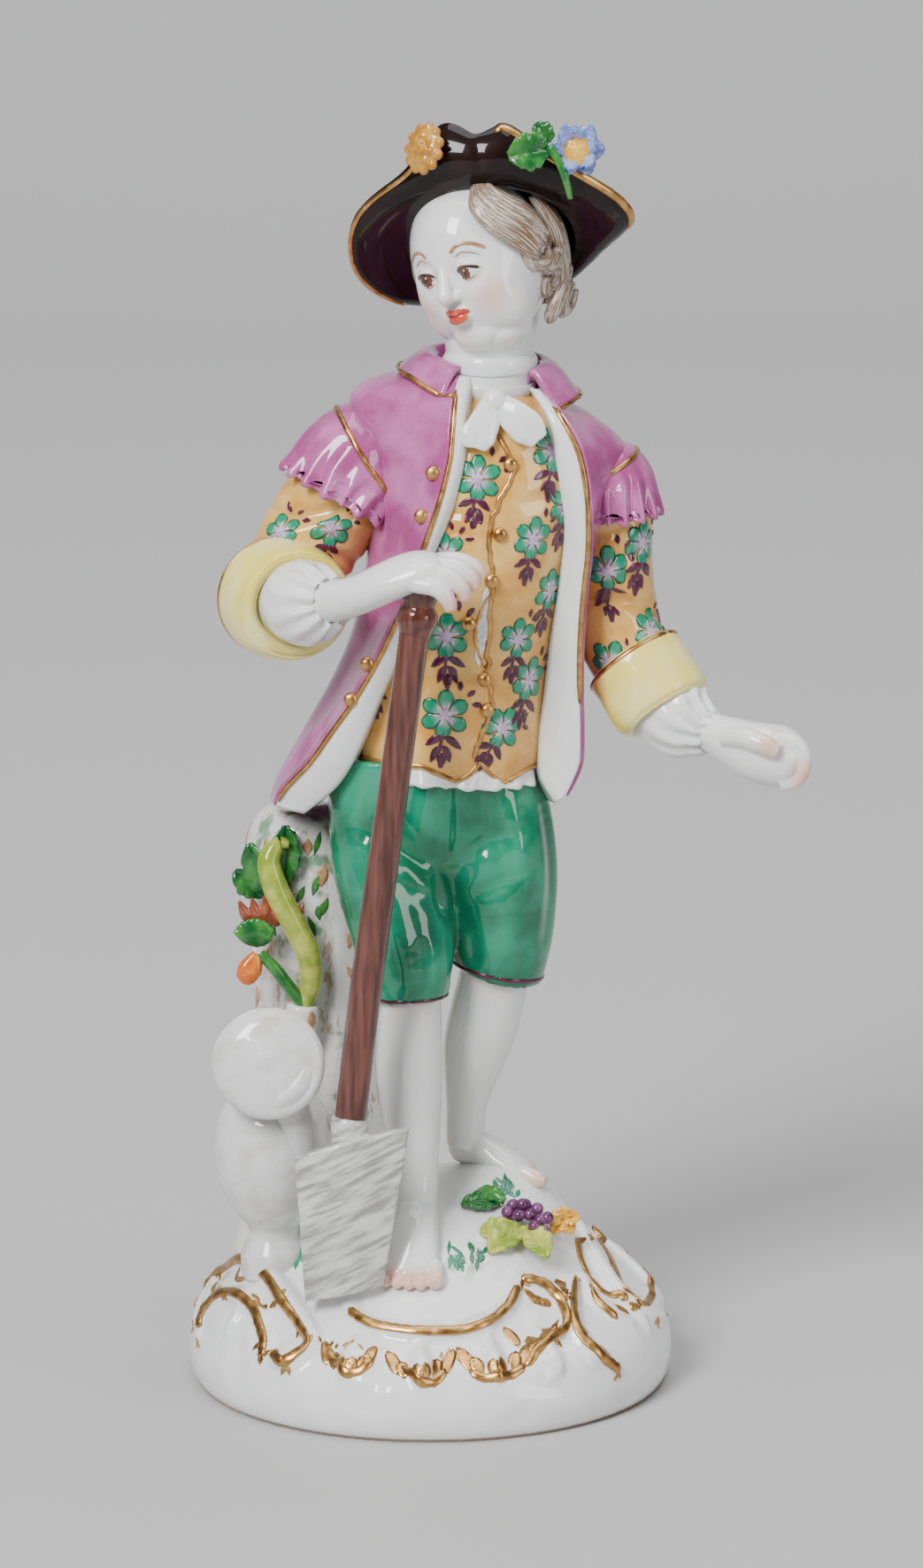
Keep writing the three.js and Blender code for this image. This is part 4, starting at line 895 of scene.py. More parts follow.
def coatSpot(u, w, inset=0.0):
    z, cx, cy, reachRight, reachLeft, back, xr, yr, xl, yl = coatRows[min(89, int(round((1 - w) * 89)))]
    if z < 70:  # the skirt's hem hangs lower behind
        z += (1 - math.sin(math.pi * u)) * (70 - z) * (0.25 if u < 0.5 else 0.45)
    ends = [math.asin(max(-1, min(1, (cx - xr) / reachRight))),
            math.asin(max(-1, min(1, (xl - cx) / reachLeft)))]
    first, last = max(ends[0] + 0.16, 0.5), math.tau - max(ends[1] + 0.16, 0.9)
    steps = [(xr, yr)]
    for k in range(9):
        angle = first + (last - first) * k / 8
        reach = reachRight if angle < math.pi else reachLeft
        steps.append((cx - reach * math.sin(angle),
                      cy - back * math.cos(angle) * (1.0 if math.cos(angle) < 0 else 1.2)))
    steps.append((xl, yl))
    t = u * (len(steps) - 1)
    k = min(int(t), len(steps) - 2)
    f = t - k
    wide = [steps[max(0, k - 1)], steps[k], steps[k + 1], steps[min(len(steps) - 1, k + 2)]]
    x, y = (0.5 * (2 * b + (c - a) * f + (2 * a - 5 * b + 4 * c - d) * f * f + (3 * b - a - 3 * c + d)
                   * f ** 3) for a, b, c, d in zip(*wide))
    wave = 0.5 * math.sin(u * 31) * max(0, (78 - z) / 15) * math.sin(math.pi * u)
    return Vector((x, y + wave, z + shoulderDrop(x, z)))


bm = sheet(coatSpot, 150, 89)
bm = solid(bm, coat["thickness"])
softened(bm)
sculpt(bm, [
    ("crease", [(-13, -4, 78), (-14, -3, 71), (-16, -1, 65)], 1.6, -0.7),
    ("crease", [(-9.6, -6, 83), (-12, -5, 74), (-14.6, -3, 66)], 1.5, 0.5),
    ("crease", [(-3.6, -8, 98), (-6.4, -6, 92), (-8.4, -3, 88)], 1.5, -0.5),
    ("crease", [(-0.4, -9.6, 101), (-2.4, -9, 94), (-4.4, -8, 88)], 1.6, 0.25),
    ("crease", [(5, 12, 92), (2.4, 13, 78), (1, 14, 64)], 1.6, -0.8),
    ("crease", [(12, 9, 80), (11, 11, 64)], 1.8, -0.6),
    ("crease", [(-6, 10, 82), (-9, 12, 64)], 1.8, -0.6),
])
coatSkin = skinOf(bm)
keep("coat", bm, "mauve", ["coat_right", "coat_left"])
for side, edgeX, edgeY, innerX, innerY in (("right", 6, 7, 1, 2), ("left", 8, 9, 3, 4)):
    rising = 0.25 if side == "right" else 0.45

    def facing(u, w):
        k = min(89, int(round((1 - w) * 89)))
        outer = coatRows[k]
        inner = [np.interp(-outer[0], -innerRows[:, 0], innerRows[:, j]) for j in range(5)]
        z, share, tuck = outer[0], min(1, u / 0.65), max(0, u - 0.65) / 0.35
        x = outer[edgeX] + (inner[innerX] - outer[edgeX]) * share - (0.8 if side == "left" else -0.8) * tuck
        y = outer[edgeY] + (inner[innerY] - outer[edgeY]) * share - 0.3 * math.sin(math.pi
                * share) + 3.6 * tuck
        if z < 70:
            z += (1 - u * 0.4) * (70 - z) * rising
        return Vector((x, y + 0.05, z + shoulderDrop(x, z)))
    bm = solid(sheet(facing, 20, 89), 0.45)
    facingSkin = skinOf(bm)
    keep(f"coat_facing_{side}", bm, "white")
    edge = [Vector((r[edgeX], r[edgeY],
                    r[0] + (rising * (70 - r[0]) if r[0] < 70 else 0) + shoulderDrop(r[edgeX], r[0])))
                    for r in coatRows[6::3]
            if side == "right" or r[0] > 76]
    trace(paint["gold"], facingSkin, [p + Vector((0, -0.5, 0)) for p in edge], width=0.6, height=0.3,
          bare=True)
for x, z in ((0.3, 101.8), (-0.9, 97.2), (-6.9, 81.4), (-8.6, 77.4)):
    spot, normal, _, _ = coatSkin.find_nearest(Vector((x - 0.9, -11, z)))
    ball(spot + normal * 0.25, (0.8, 0.5, 0.8), 3, paint["gold"])
hemLine = [coatSpot(u, 0.0) for u in np.linspace(0.03, 0.97, 60)]
trace(paint["gold"], coatSkin, hemLine, width=0.45, height=0.16, bare=True)


collar = {  # half width, half depth and height from the inner edge over the fold to the outer one
    "rows": [(5.0, 4.8, 110.0), (5.6, 5.4, 111.5), (6.8, 6.4, 111.7), (8.2, 7.4, 110.6), (9.4, 8.2, 109.2)],
    "open": (32, 50),  # degrees left free at each side of the front
    "thickness": 0.8,
}


def collarSpot(u, w):
    first, last = collar["open"]
    angle = math.radians(first + (360 - first - last) * u)
    a, b, z = spline(collar["rows"], 20)[min(19, int(round(w * 19)))]
    tip = max(0, 1 - min(u, 1 - u) / 0.10)
    x, y = 6.3 - (a - 0.6 * tip * w) * math.sin(angle), 0.5 - b * math.cos(angle) * (1
            if math.cos(angle) < 0 else 1.02)
    return Vector((x, y,
                   z + 0.8 * (1 - math.cos(angle)) / 2 - 1.0 * tip * w - 0.10 * (x - 6.3) * (0.5 + w)))


bm = solid(sheet(collarSpot, 100, 19), collar["thickness"])
collarSkin = skinOf(bm)
keep("collar", bm, "mauve", ["coat_collar"])
collarEdge = [collarSpot(u, 0.98) for u in np.linspace(0, 1, 60)]
outward = [p + (p - Vector((6.3, 0.5, 106))).normalized() * 0.8 for p in collarEdge]
trace(paint["gold"], collarSkin, outward, width=0.6, height=0.22, bare=True)
# the braid runs on from the collar's corner into the front edge
for u, edgeX, edgeY in ((0.0, 6, 7), (1.0, 8, 9)):
    corner, row = collarSpot(u, 0.98), coatRows[8]
    end = Vector((row[edgeX], row[edgeY] - 0.6, row[0] + shoulderDrop(row[edgeX], row[0])))
    trace(paint["gold"], coatSkin, [corner, corner.lerp(end, 0.5) + Vector((0, -0.6, 0.4)), end,
                                    end - up * 0.8], width=0.55, height=0.3, reach=3.5)
print("coat")

# Arms.
arms = {
    "right": {
        "cap": [(-4.8, 0.6, 102.2, 5.6, 5.4), (-6.3, 0.6, 101.4, 6.7, 6.3), (-7.9, 0.5, 99.9, 6.9, 6.6),
                (-8.8, 0.4, 98.5, 6.9, 6.8), (-9.6, 0.3, 97.1, 7.1, 7.0)],
        "sleeve": [(-7.4, 0.6, 101, 5.0, 5.2), (-9.6, 0.6, 97.6, 5.6, 5.6), (-12.0, 0.4, 93.8, 5.7, 5.5),
                   (-14.0, -0.6, 90.2, 5.4, 5.3), (-14.8, -3.0, 88.2, 5.0, 4.9),
                   (-14.2, -6.4, 87.6, 4.4, 4.4)],
        "cuff": [(-16.4, -2.2, 87.3, 5.2, 5.2), (-16.1, -3.2, 87.2, 6.5, 6.7),
                 (-15.4, -5.0, 87.1, 6.6, 6.8), (-14.6, -6.8, 87.2, 6.3, 6.5),
                 (-14.0, -8.3, 87.3, 5.9, 6.1), (-13.8, -8.8, 87.3, 5.4, 5.6)],
        "frill": [(-14.6, -7.2, 87.5, 4.2, 4.2), (-13.2, -10.0, 87.7, 4.6, 4.5),
                  (-12.0, -12.2, 88.1, 4.2, 4.1), (-10.8, -13.8, 88.5, 3.2, 3.2),
                  (-10.2, -14.6, 88.7, 2.5, 2.4)],
        "palm": [(-12, -12.6, 88.2, 2.2, 2.1), (-9.8, -14.9, 88.8, 2.3, 2.2),
                 (-7.2, -16.6, 89.8, 2.6, 2.1), (-4.2, -17.7, 91.4, 3.1, 2.1),
                 (-1.4, -18.1, 92.6, 3.2, 1.9), (0.4, -18.3, 92.8, 2.8, 1.5), (1.7, -18.4, 92.5, 1.7, 0.8)],
        "up": (0.2, -0.2, 1),
        "fingers": [[(-1.6, -20.4, 91.6, 0.95), (0.8, -21.0, 91.2, 0.95), (2.0, -21.0, 89.9, 0.86),
                     (2.3, -20.8, 88.9, 0.7)],
                    [(-0.8, -19.3, 92.6, 1.0), (2.0, -19.9, 92.3, 0.98), (3.4, -19.9, 91.0, 0.9),
                     (3.8, -19.7, 89.8, 0.72)],
                    [(-0.2, -17.9, 93.1, 1.0), (2.8, -18.4, 93.0, 1.0), (4.3, -18.4, 91.9, 0.92),
                     (4.9, -18.2, 90.7, 0.74)],
                    [(0.0, -16.6, 93.1, 1.0), (2.9, -16.9, 93.4, 0.98), (4.7, -16.9, 92.7, 0.9),
                     (5.6, -16.7, 91.6, 0.72)]],
        "tips": [(2.3, -21.2, 89.2), (3.8, -20.2, 90.0), (4.9, -18.8, 90.9), (5.4, -17, 91.8)],
        "sprigs": [((-10.3, -6, 94.6), 0.2), ((-15.6, -4, 94.0), -0.3), ((-16.6, 4, 91.0), 0.3),
                   ((-9.5, 6.4, 95.0), 0.0)],
    },
    "left": {
        "cap": [(17.8, 1.8, 100.5, 3.4, 4.4), (18.3, 1.8, 99.9, 4.6, 5.5), (18.7, 1.9, 98.8, 5.2, 6.2),
                (18.9, 1.9, 97.1, 5.4, 6.5), (19.1, 1.9, 95.0, 5.7, 6.8)],
        "sleeve": [(19.0, 2, 99.5, 4.4, 5.0), (19.5, 2, 95, 4.4, 5.0), (19.4, 2.2, 89, 4.6, 5.1),
                   (19.9, 2.0, 84, 4.8, 5.0), (21.4, 1.2, 80, 4.6, 4.6), (23.8, -0.4, 76.6, 4.2, 4.2)],
        "cuff": [(21.4, 1.0, 80.1, 4.4, 4.4), (21.9, 0.7, 79.4, 5.4, 5.5), (22.9, 0.0, 78.0, 5.5, 5.6),
                 (24.0, -0.8, 76.4, 5.5, 5.5), (25.0, -1.5, 74.9, 5.4, 5.4), (25.4, -1.8, 74.3, 4.9, 4.9)],
        "frill": [(23.6, -0.6, 76.6, 3.6, 3.6), (25.6, -1.8, 74.6, 4.3, 4.2),
                  (27.4, -2.9, 73.4, 4.1, 4.0), (29.0, -3.8, 72.8, 2.9, 2.9), (29.8, -4.2, 72.6, 2.2, 2.2)],
        "palm": [(28.2, -3.4, 73.1, 2.0, 2.0), (30.4, -4.6, 72.5, 2.2, 2.2),
                 (32.8, -6.1, 71.7, 3.0, 2.7), (35.0, -7.2, 71.0, 3.5, 3.2),
                 (37.2, -7.5, 70.6, 3.7, 3.3), (38.8, -7.5, 70.4, 3.2, 2.8), (39.6, -7.5, 70.3, 1.8, 1.6)],
        "up": (0.15, -0.25, 1),
        "fingers": [[(36.4, y, 72.7 - 0.2 * k, 1.1), (38.5, y, 72.4 - 0.2 * k, 1.12),
                     (39.5, y, 71.2 - 0.2 * k, 1.12), (39.5, y, 69.6, 1.08),
                     (38.7, y, 68.5, 1.05), (37.2, y, 68.2, 1.0)] for k,
                     y in enumerate((-9.5, -7.9, -6.3, -4.9))]
                    + [[(31.4, -8.0, 72.8, 1.1), (33.4, -9.9, 73.1, 1.15), (35.4, -11.0, 72.6, 1.1),
                        (36.9, -11.3, 71.8, 0.85)]],
        "tips": [(36.0, -11.8, 72.6), (39.8, -10.4, 69.0)],
        "sprigs": [((18.9, -4, 90.0), -0.1), ((18.7, -4, 79.8), 0.3), ((24.0, -2, 83.2), 0.3),
                   ((23.4, -2, 92.6), 0.2), ((21, 7.4, 86), 0.0)],
    },
}


# part of a circle round a loft's path, in half turns from the top by way of the front
def ringAt(stations, place, reach, first=0.0, last=2.0):
    path = spline(stations, 10 * (len(stations) - 1) + 1)
    k = int(place * 10)
    centre, way = Vector(path[k][:3]), (Vector(path[k + 1][:3]) - Vector(path[k - 1][:3])).normalized()
    side = way.cross(up).normalized()
    lift = side.cross(way)
    forward = side if side.y < 0 else -side
    return [centre + lift * reach * math.cos(t) + forward * reach * math.sin(t)
            for t in np.linspace(first * math.pi, last * math.pi, 25)]


for side, arm in arms.items():
    bm = melded(loft(arm["sleeve"], sides=44, rows=56), 0.3, 3)
    ridges = [(0.25, -0.5), (0.42, 0.4), (0.55, -0.6), (0.7, 0.45), (0.82, -0.6)]
    path = spline(arm["sleeve"], 40)
    moves = []
    for k, (share, depth) in enumerate(ridges):
        c = Vector(path[int(share * 39)][:3])
        ring = [c + Vector((6 * math.sin(t), -6 * math.cos(t), 1.5 * math.sin(t * 1.3 + k)))
                for t in np.linspace(-1.7 + 0.5 * k, 0.9 + 0.4 * k, 6)]
        snap = skinOf(bm)
        moves.append(("crease", [tuple(snap.find_nearest(p)[0]) for p in ring], 1.3, depth))
    sculpt(bm, moves)
    sleeveSkin = skinOf(bm)
    keep(f"sleeve_{side}", bm, "straw", [f"sleeve_{side}"])
    for spot, tilt in arm["sprigs"]:
        sprig(sleeveSkin, spot, tilt)
    bm = sunkEnd(pleated(loft(arm["cap"], sides=220, rows=40), 17, 0.5, 0.15), 0.6, 1.2)
    capSkin = skinOf(bm)
    keep(f"sleeve_cap_{side}", bm, "mauve", [f"sleeve_ruffle_{side}"])
    trace(paint["gold"], capSkin, ringAt(arm["cap"], 0.9, arm["cap"][1][3] + 0.6, -0.3, 1.4), width=0.62,
          height=0.24)
    bm = sunkEnd(loft(arm["cuff"], sides=72, rows=40), 0.8, 1.0)
    sculpt(bm, [("swell", tuple(Vector(arm["cuff"][2][:3]) + Vector((-3, -4, -4))), 4, 0.4)])
    cuffSkin = skinOf(bm)
    keep(f"cuff_{side}", bm, "lemon", [f"cuff_{side}"])
    trace(paint["gold"], cuffSkin, ringAt(arm["cuff"], 1, arm["cuff"][1][3]), width=0.62, height=0.2)
    bm = pleated(loft(arm["frill"], sides=140, rows=40), 11, 0.42, 0.1)
    keep(f"wrist_frill_{side}", bm, "white", [f"wrist_frill_{side}"])
    bm = loft(arm["palm"], sides=30, rows=36, front=arm["up"])
    for finger in arm["fingers"]:
        tube(finger, sides=16, rows=18, front=arm["up"], bm=bm)
    bm = melded(bm, 0.17, 3)
    tints = [(tip, 2.8, 0.85, fleshTint) for tip in arm["tips"]]
    keep(f"hand_{side}", bm, whiteGlaze(f"tinted hand {side}", tints), [f"hand_{side}"])
print("arms")

# Neckcloth.
bm = loft([(6.3, 0.0, 108.4, 4.6, 4.6), (6.3, -0.1, 109.4, 5.1, 5.0), (6.3, -0.2, 110.4, 5.2, 5.1),
           (6.35, -0.3, 110.95, 4.85, 4.8), (6.4, -0.3, 111.6, 5.05, 4.95),
           (6.4, -0.4, 112.3, 5.1, 5.0), (6.4, -0.4, 113.0, 4.7, 4.6)], sides=60, rows=44)
keep("neckcloth", bm, "white", ["neckcloth"])
for side, path in (("right", [(6.6, -5.6, 109.2, 0.9, 0.8), (6.5, -7.0, 108.2, 1.3, 0.8),
                              (5.8, -8.3, 106.6, 1.7, 0.6), (5.1, -9.1, 105.2, 1.9, 0.5),
                              (4.8, -9.4, 104.0, 1.3, 0.35)]),
                   ("left", [(7.2, -5.6, 109.2, 0.9, 0.8), (7.6, -7.0, 108.4, 1.3, 0.8),
                             (9.0, -8.1, 107.2, 1.8, 0.6), (10.5, -8.4, 105.9, 1.9, 0.5),
                             (11.6, -8.4, 104.7, 1.1, 0.35)])):
    bm = loft(path, sides=28, rows=30)
    if side == "right":
        ball((6.9, -6.9, 108.7), (1.5, 1.3, 1.4), 4, bm)
    bm = melded(bm, 0.16, 2)
    sculpt(bm, [("crease", [p[:3] for p in path[1:]], 0.7, -0.3)])
    keep(f"neckcloth_end_{side}", bm, "white", [f"neckcloth_end_{side}"])

# Head: shaped looking straight ahead round its own middle, then turned and tilted.
head = {"middle": (5.4, -0.8, 123.4), "turns": (("Y", -17), ("Z", -33), ("X", 4))}
pose = Matrix.Translation(head["middle"])
for axis, degrees in head["turns"]:
    pose = pose @ Matrix.Rotation(math.radians(degrees), 4, axis)
bm = ball((0, 0, 0), (7.2, 7.6, 8.9), 6)
sculpt(bm, [
    ("swell", (3.9, -5.6, -3.4), 4.6, 0.9), ("swell", (-3.9, -5.6, -3.4), 4.6, 0.9),
    ("swell", (4.4, -3.6, -6.6), 4.6, 1.3), ("swell", (-4.4, -3.6, -6.6), 4.6, 1.3),
    ("swell", (0, -6.4, 5.0), 6.0, 0.4),
    ("swell", (2.75, -7.0, 0.3), 2.5, -1.0), ("swell", (-2.75, -7.0, 0.3), 2.5, -1.0),
    ("swell", (0, -6.2, -5.4), 3.6, 0.9),
    ("nudge", (0, -4.6, -7.6), 3.8, (0, -1.0, -0.7)),
])
for side in (-1, 1):
    ball((2.75 * side, -5.75, 0.25), 1.4, 4, bm)
    tube([(1.35 * side, -6.7, 0.05, 0.16), (2.1 * side, -7.15, 0.95, 0.26),
          (3.0 * side, -7.05, 1.0, 0.28), (4.1 * side, -6.2, 0.3, 0.18)], sides=12, rows=20, bm=bm)
    tube([(1.5 * side, -6.7, -0.2, 0.12), (2.5 * side, -6.95, -0.85, 0.2),
          (3.9 * side, -6.2, -0.2, 0.12)], sides=12, rows=16, bm=bm)
    ball((0.78 * side, -7.75, -2.1), (0.55, 0.6, 0.5), 3, bm)
    ball((7.1 * side, 0.6, -0.9), (0.85, 1.5, 2.1), 4, bm)
    ball((7.2 * side, 0.2, -2.7), (0.6, 0.8, 0.9), 3, bm)
tube([(0, -6.9, 2.0, 0.5), (0, -7.6, 0.4, 0.6), (0, -8.25, -1.0, 0.75), (0, -8.65, -1.75, 0.82),
      (0, -8.2, -2.3, 0.6)], sides=18, rows=24, bm=bm)
tube([(-1.75, -6.75, -4.0, 0.12), (-0.9, -7.5, -3.75, 0.36), (-0.35, -7.85, -3.6, 0.42),
      (0, -7.9, -3.75, 0.36), (0.35, -7.85, -3.6, 0.42), (0.9, -7.5, -3.75, 0.36),
      (1.75, -6.75, -4.0, 0.12)], sides=12, rows=36, bm=bm)
tube([(-1.4, -6.9, -4.15, 0.12), (-0.7, -7.5, -4.5, 0.42), (0, -7.65, -4.6, 0.48),
      (0.7, -7.5, -4.5, 0.42), (1.4, -6.9, -4.15, 0.12)], sides=12, rows=30, bm=bm)
ball((0, -5.2, -6.9), (2.7, 1.9, 2.0), 4, bm)
ball((0, -2.4, -7.6), (4.6, 3.8, 2.4), 4, bm)
neck = [(*(pose.inverted() @ Vector(p)), a, b) for *p, a,
        b in ((6.8, 1.0, 119, 5.0, 5.6), (6.5, 0.3, 115.5, 4.9, 5.2), (6.4, 0.0, 112, 4.7, 4.6),
              (6.3, 0.1, 108.6, 4.4, 4.4))]
loft(neck, sides=40, rows=24, bm=bm)
bm = melded(bm, 0.17, 3)
sculpt(bm, [
    ("crease", [(-1.7, -6.9, -4.02), (-0.7, -7.8, -4.0), (0, -7.9, -4.08), (0.7, -7.8, -4.0),
                (1.7, -6.9, -4.02)], 0.32, -0.2),
    ("crease", [(-1.0, -7.0, -5.4), (0, -7.2, -5.6), (1.0, -7.0, -5.4)], 1.0, -0.35),
    ("crease", [(0, -7.9, -2.7), (0, -7.7, -3.4)], 0.4, -0.16),
    ("crease", [(1.3, -7.2, 1.75), (2.6, -7.2, 2.05), (4.3, -6.0, 1.2)], 0.5, -0.14),
    ("crease", [(-1.3, -7.2, 1.75), (-2.6, -7.2, 2.05), (-4.3, -6.0, 1.2)], 0.5, -0.14),
    ("swell", (1.25, -8.1, -2.6), 0.4, -0.25), ("swell", (-1.25, -8.1, -2.6), 0.4, -0.25),
    ("crease", [(7.9, -0.2, 0.4), (8.1, 0.9, -0.2), (7.9, 0.6, -1.8)], 0.6, -0.4),
    ("crease", [(-7.9, -0.2, 0.4), (-8.1, 0.9, -0.2), (-7.9, 0.6, -1.8)], 0.6, -0.4),
])
faceSkin = skinOf(bm)
bm.transform(pose)
blush = (0.80, 0.33, 0.23)
tints = [(tuple(pose @ Vector(p)), r, share, blush) for p, r,
         share in (((4.3, -6.2, -2.9), 3.4, 0.55), ((-4.3, -6.2, -2.9), 3.4, 0.55),
                   ((0, -7.5, -6.8), 2.4, 0.3),
         ((7.6, 0.2, -2.9), 1.8, 0.6), ((-7.6, 0.2, -2.9), 1.8, 0.6), ((0, -8.9, -2.2), 1.2, 0.25),
         ((2.75, -7.2, 1.5), 1.5, 0.12), ((-2.75, -7.2, 1.5), 1.5, 0.12))]
keep("head", bm, whiteGlaze("tinted face", tints), ["head"])


def facePaint(name, bm, material):
    bm.transform(pose)
    keep(name, bm, material)


iris, lash, brow, lips, glint = (bmesh.new() for _ in range(5))
for side in (-1, 1):
    look = (2.45 * side - 0.25, -7.4, 0.12)
    for k in range(10):
        stroke(iris, faceSkin, look, (0, 0, 1), 0.88, 0.7, k * math.tau / 10, lift=0.04, cells=3)
    for k in range(8):
        stroke(lash, faceSkin, look, (0, 0, 1), 0.40, 0.34, k * math.tau / 8, lift=0.09, cells=3)
    stroke(glint, faceSkin, look, (0, 0, 1), 0.26, 0.24, 0.6, (0.1, 0.12), 0.13, cells=3)
    trace(lash, faceSkin, [(1.45 * side, -6.9, 0.2), (2.1 * side, -7.3, 0.72), (3.0 * side, -7.2, 0.76),
                           (3.9 * side, -6.4, 0.25)], width=0.38, height=0.08, step=0.16)
    trace(brow, faceSkin,
          [(1.7 * side, -6.9, -0.45), (2.5 * side, -7.2, -0.72), (3.4 * side, -6.8, -0.5)], width=0.16,
          height=0.05, step=0.2)
    trace(brow, faceSkin, [(1.5 * side, -7.2, 2.5), (2.6 * side, -7.2, 3.15), (3.9 * side, -6.4, 2.9),
                           (5.0 * side, -5.6, 1.9)], width=0.42, height=0.06, step=0.2)
    trace(brow, faceSkin, [(1.8 * side, -7.2, 1.9), (2.9 * side, -7.1, 2.1), (4.2 * side, -6.2, 1.4)],
          width=0.16, height=0.05, step=0.3)
trace(lips, faceSkin, [(-1.35, -7.1, -3.85), (-0.8, -7.8, -3.68), (-0.35, -8.2, -3.5), (0, -8.2, -3.66),
                       (0.35, -8.2, -3.5), (0.8, -7.8, -3.68), (1.35, -7.1, -3.85)], width=0.55,
                       height=0.07, step=0.14)
trace(lips, faceSkin, [(-1.05, -7.4, -4.3), (-0.5, -8.0, -4.5), (0, -8.1, -4.56), (0.5, -8.0, -4.5),
                       (1.05, -7.4, -4.3)], width=0.85, height=0.07, step=0.14)
trace(lips, faceSkin, [(-1.5, -7.0, -4.0), (-0.7, -7.8, -4.02), (0, -8.1, -4.1), (0.7, -7.8, -4.02),
                       (1.5, -7.0, -4.0)], width=0.42, height=0.08, step=0.14)
facePaint("irises", sheeted(iris, 0.04), "iris")
facePaint("lashes", lash, "lash")
facePaint("brows", brow, "brow")
facePaint("lip_colour", lips, "lip")
facePaint("eye_glints", sheeted(glint, 0.04), "white")
print("head")


# Hair: brushed back off the forehead in locks, rolled over the ears, curls behind the jaw.
def lock(bm, points, wide, thick, rows=26):
    widths = spline([(w,) for w in wide], rows)
    path = spline(points, rows)
    stations = [(*p, w[0], thick * (0.45 + 0.55 * w[0] / max(wide))) for p, w in zip(path, widths)]
    fronts = [Vector((p[0], p[1] * 0.8, p[2] * 0.55)) for p in path]
    return loft(stations, sides=20, rows=rows, bm=bm, fronts=fronts)


for side, name in ((1, "left"), (-1, "right")):
    bm = bmesh.new()
    count = 9 if side > 0 else 5
    for k in range(count):
        f = k / 8 if side > 0 else 1.3 + k / 8
        points = [(side * (3.8 + 0.4 * f), -2.6 + 2.0 * f, 7.7 + 0.5 * f),
                  (side * (4.7 + 0.4 * f), -4.5 + 3.0 * f, 6.1 + 0.9 * f),
                  (side * (6.0 + 0.5 * f), -4.6 + 3.2 * f, 4.2 + 1.1 * f),
                  (side * (7.1 + 0.5 * f), -3.2 + 3.0 * f, 1.8 + 1.6 * f),
                  (side * (7.8 + 0.3 * f), -1.5 + 2.4 * f, -1.0 + 1.6 * f)]
        lock(bm, points if side > 0 else points[3:], (0.35, 0.8, 1.0, 1.1, 0.7),
             0.8 + 0.25 * math.sin(3 * k))
    for k, (y, z) in enumerate(((-0.4, -0.6), (1.6, -1.4), (3.4, -1.0))):
        turn = [(side * (7.5 + 0.5 * math.cos(t)), y + 1.3 * math.cos(t + k), z - 1.4 * math.sin(t))
                for t in np.linspace(0.4, 5.2, 9)]
        lock(bm, turn, (0.7, 1.0, 1.0, 0.9, 0.5), 0.8)
    for k, (y, z) in enumerate(((1.4, -4.2), (3.0, -5.4), (2.2, -7.0), (4.4, -7.4))):
        turn = [(side * (6.6 - 0.25 * k + 0.8 * math.cos(t)), y + 1.2 * math.sin(t + k),
                 z + 1.3 * math.cos(t)) for t in np.linspace(0, 5.0, 9)]
        lock(bm, turn, (0.6, 0.95, 0.95, 0.8, 0.4), 0.75)
    bm.transform(pose)
    keep(f"curls_{name}", bm, "hair", [f"curls_{name}"])
bm = ball((0, 1.6, -0.8), (7.4, 7.2, 6.4), 5)
for k in range(15):
    angle = math.radians(-75 + 150 * k / 14)
    s, c = math.sin(angle), math.cos(angle)
    lock(bm, [(7.0 * s, 1.4 + 6.6 * c, 4.5), (7.9 * s, 1.6 + 7.4 * c, 1), (7.6 * s, 1.6 + 7.4 * c, -2.6),
              (6.6 * s, 1.4 + 6.8 * c, -5.8), (5.6 * s, 1.4 + 6.2 * c, -8.4)],
         (0.7, 1.25, 1.3, 1.2, 0.6), 0.8)
bm.transform(pose)
keep("hair_back", bm, "hair", ["hair_back"])
print("hair")

# Hat: the crown falls to a fold, and the brim runs out from there and is cocked up.
hat = {
    "place": Vector((6.9, 0.9, 124.6)),
    "lean": 0.87,
    "reach": 15.4,
    "rise": 6.4,
    "fold": 8.9,
    "rim": [(0, 0.872, 0.57), (5, 0.883, 0.64), (24, 0.844, 0.30), (45, 0.883, 0.06), (72, 0.97, 0.05),
            (88, 0.88, 0.3), (101, 0.78, 0.66), (130, 0.71, 1.05),
            (158, 0.8, 0.7), (180, 0.95, 0.1), (199, 0.82, 0.6), (212, 0.83, 0.34), (220, 0.85, 0.16),
            (232, 0.92, 0.0), (248, 0.99, 0.0), (263, 1.0, 0.0), (285, 0.97, 0.05),
            (315, 0.857, 0.19), (337, 0.905, 0.73), (351, 0.857, 0.47), (360, 0.872, 0.57)],
}
rimRows = spline([(b, r, c) for b, r, c in hat["rim"]], 720)


def hatFrame(a, b, c):
    cosine, sine = math.cos(hat["lean"]), math.sin(hat["lean"])
    return hat["place"] + Vector((a, b * cosine + c * sine, -b * sine + c * cosine))


def hatSpot(u, w):
    bearing = 360 * u
    _, reach, rise = rimRows[int(np.searchsorted(rimRows[:, 0], bearing)) % 720 if bearing < 360 else 0]
    reach, rise = reach * hat["reach"], rise * hat["rise"]
    if w > 0.5:
        t = (1 - w) * 2
        r, c = 8.0 * math.sin(t * math.pi / 2) ** 0.75, 7.4 * math.cos(t * math.pi / 2) ** 0.8
        r += 1.1 * max(0, t - 0.8) * 5
        c = c * 0.98
    else:
        t = 1 - w * 2
        r = hat["fold"] + (reach - hat["fold"]) * math.sin(t * math.pi / 2) ** (0.7 if rise > 3 else 0.95)
        c = -0.45 * math.sin(math.pi * min(1, t * 1.1)) + rise * t ** 1.6
    angle = math.radians(bearing)
    return hatFrame(r * math.sin(angle), -r * math.cos(angle), c)


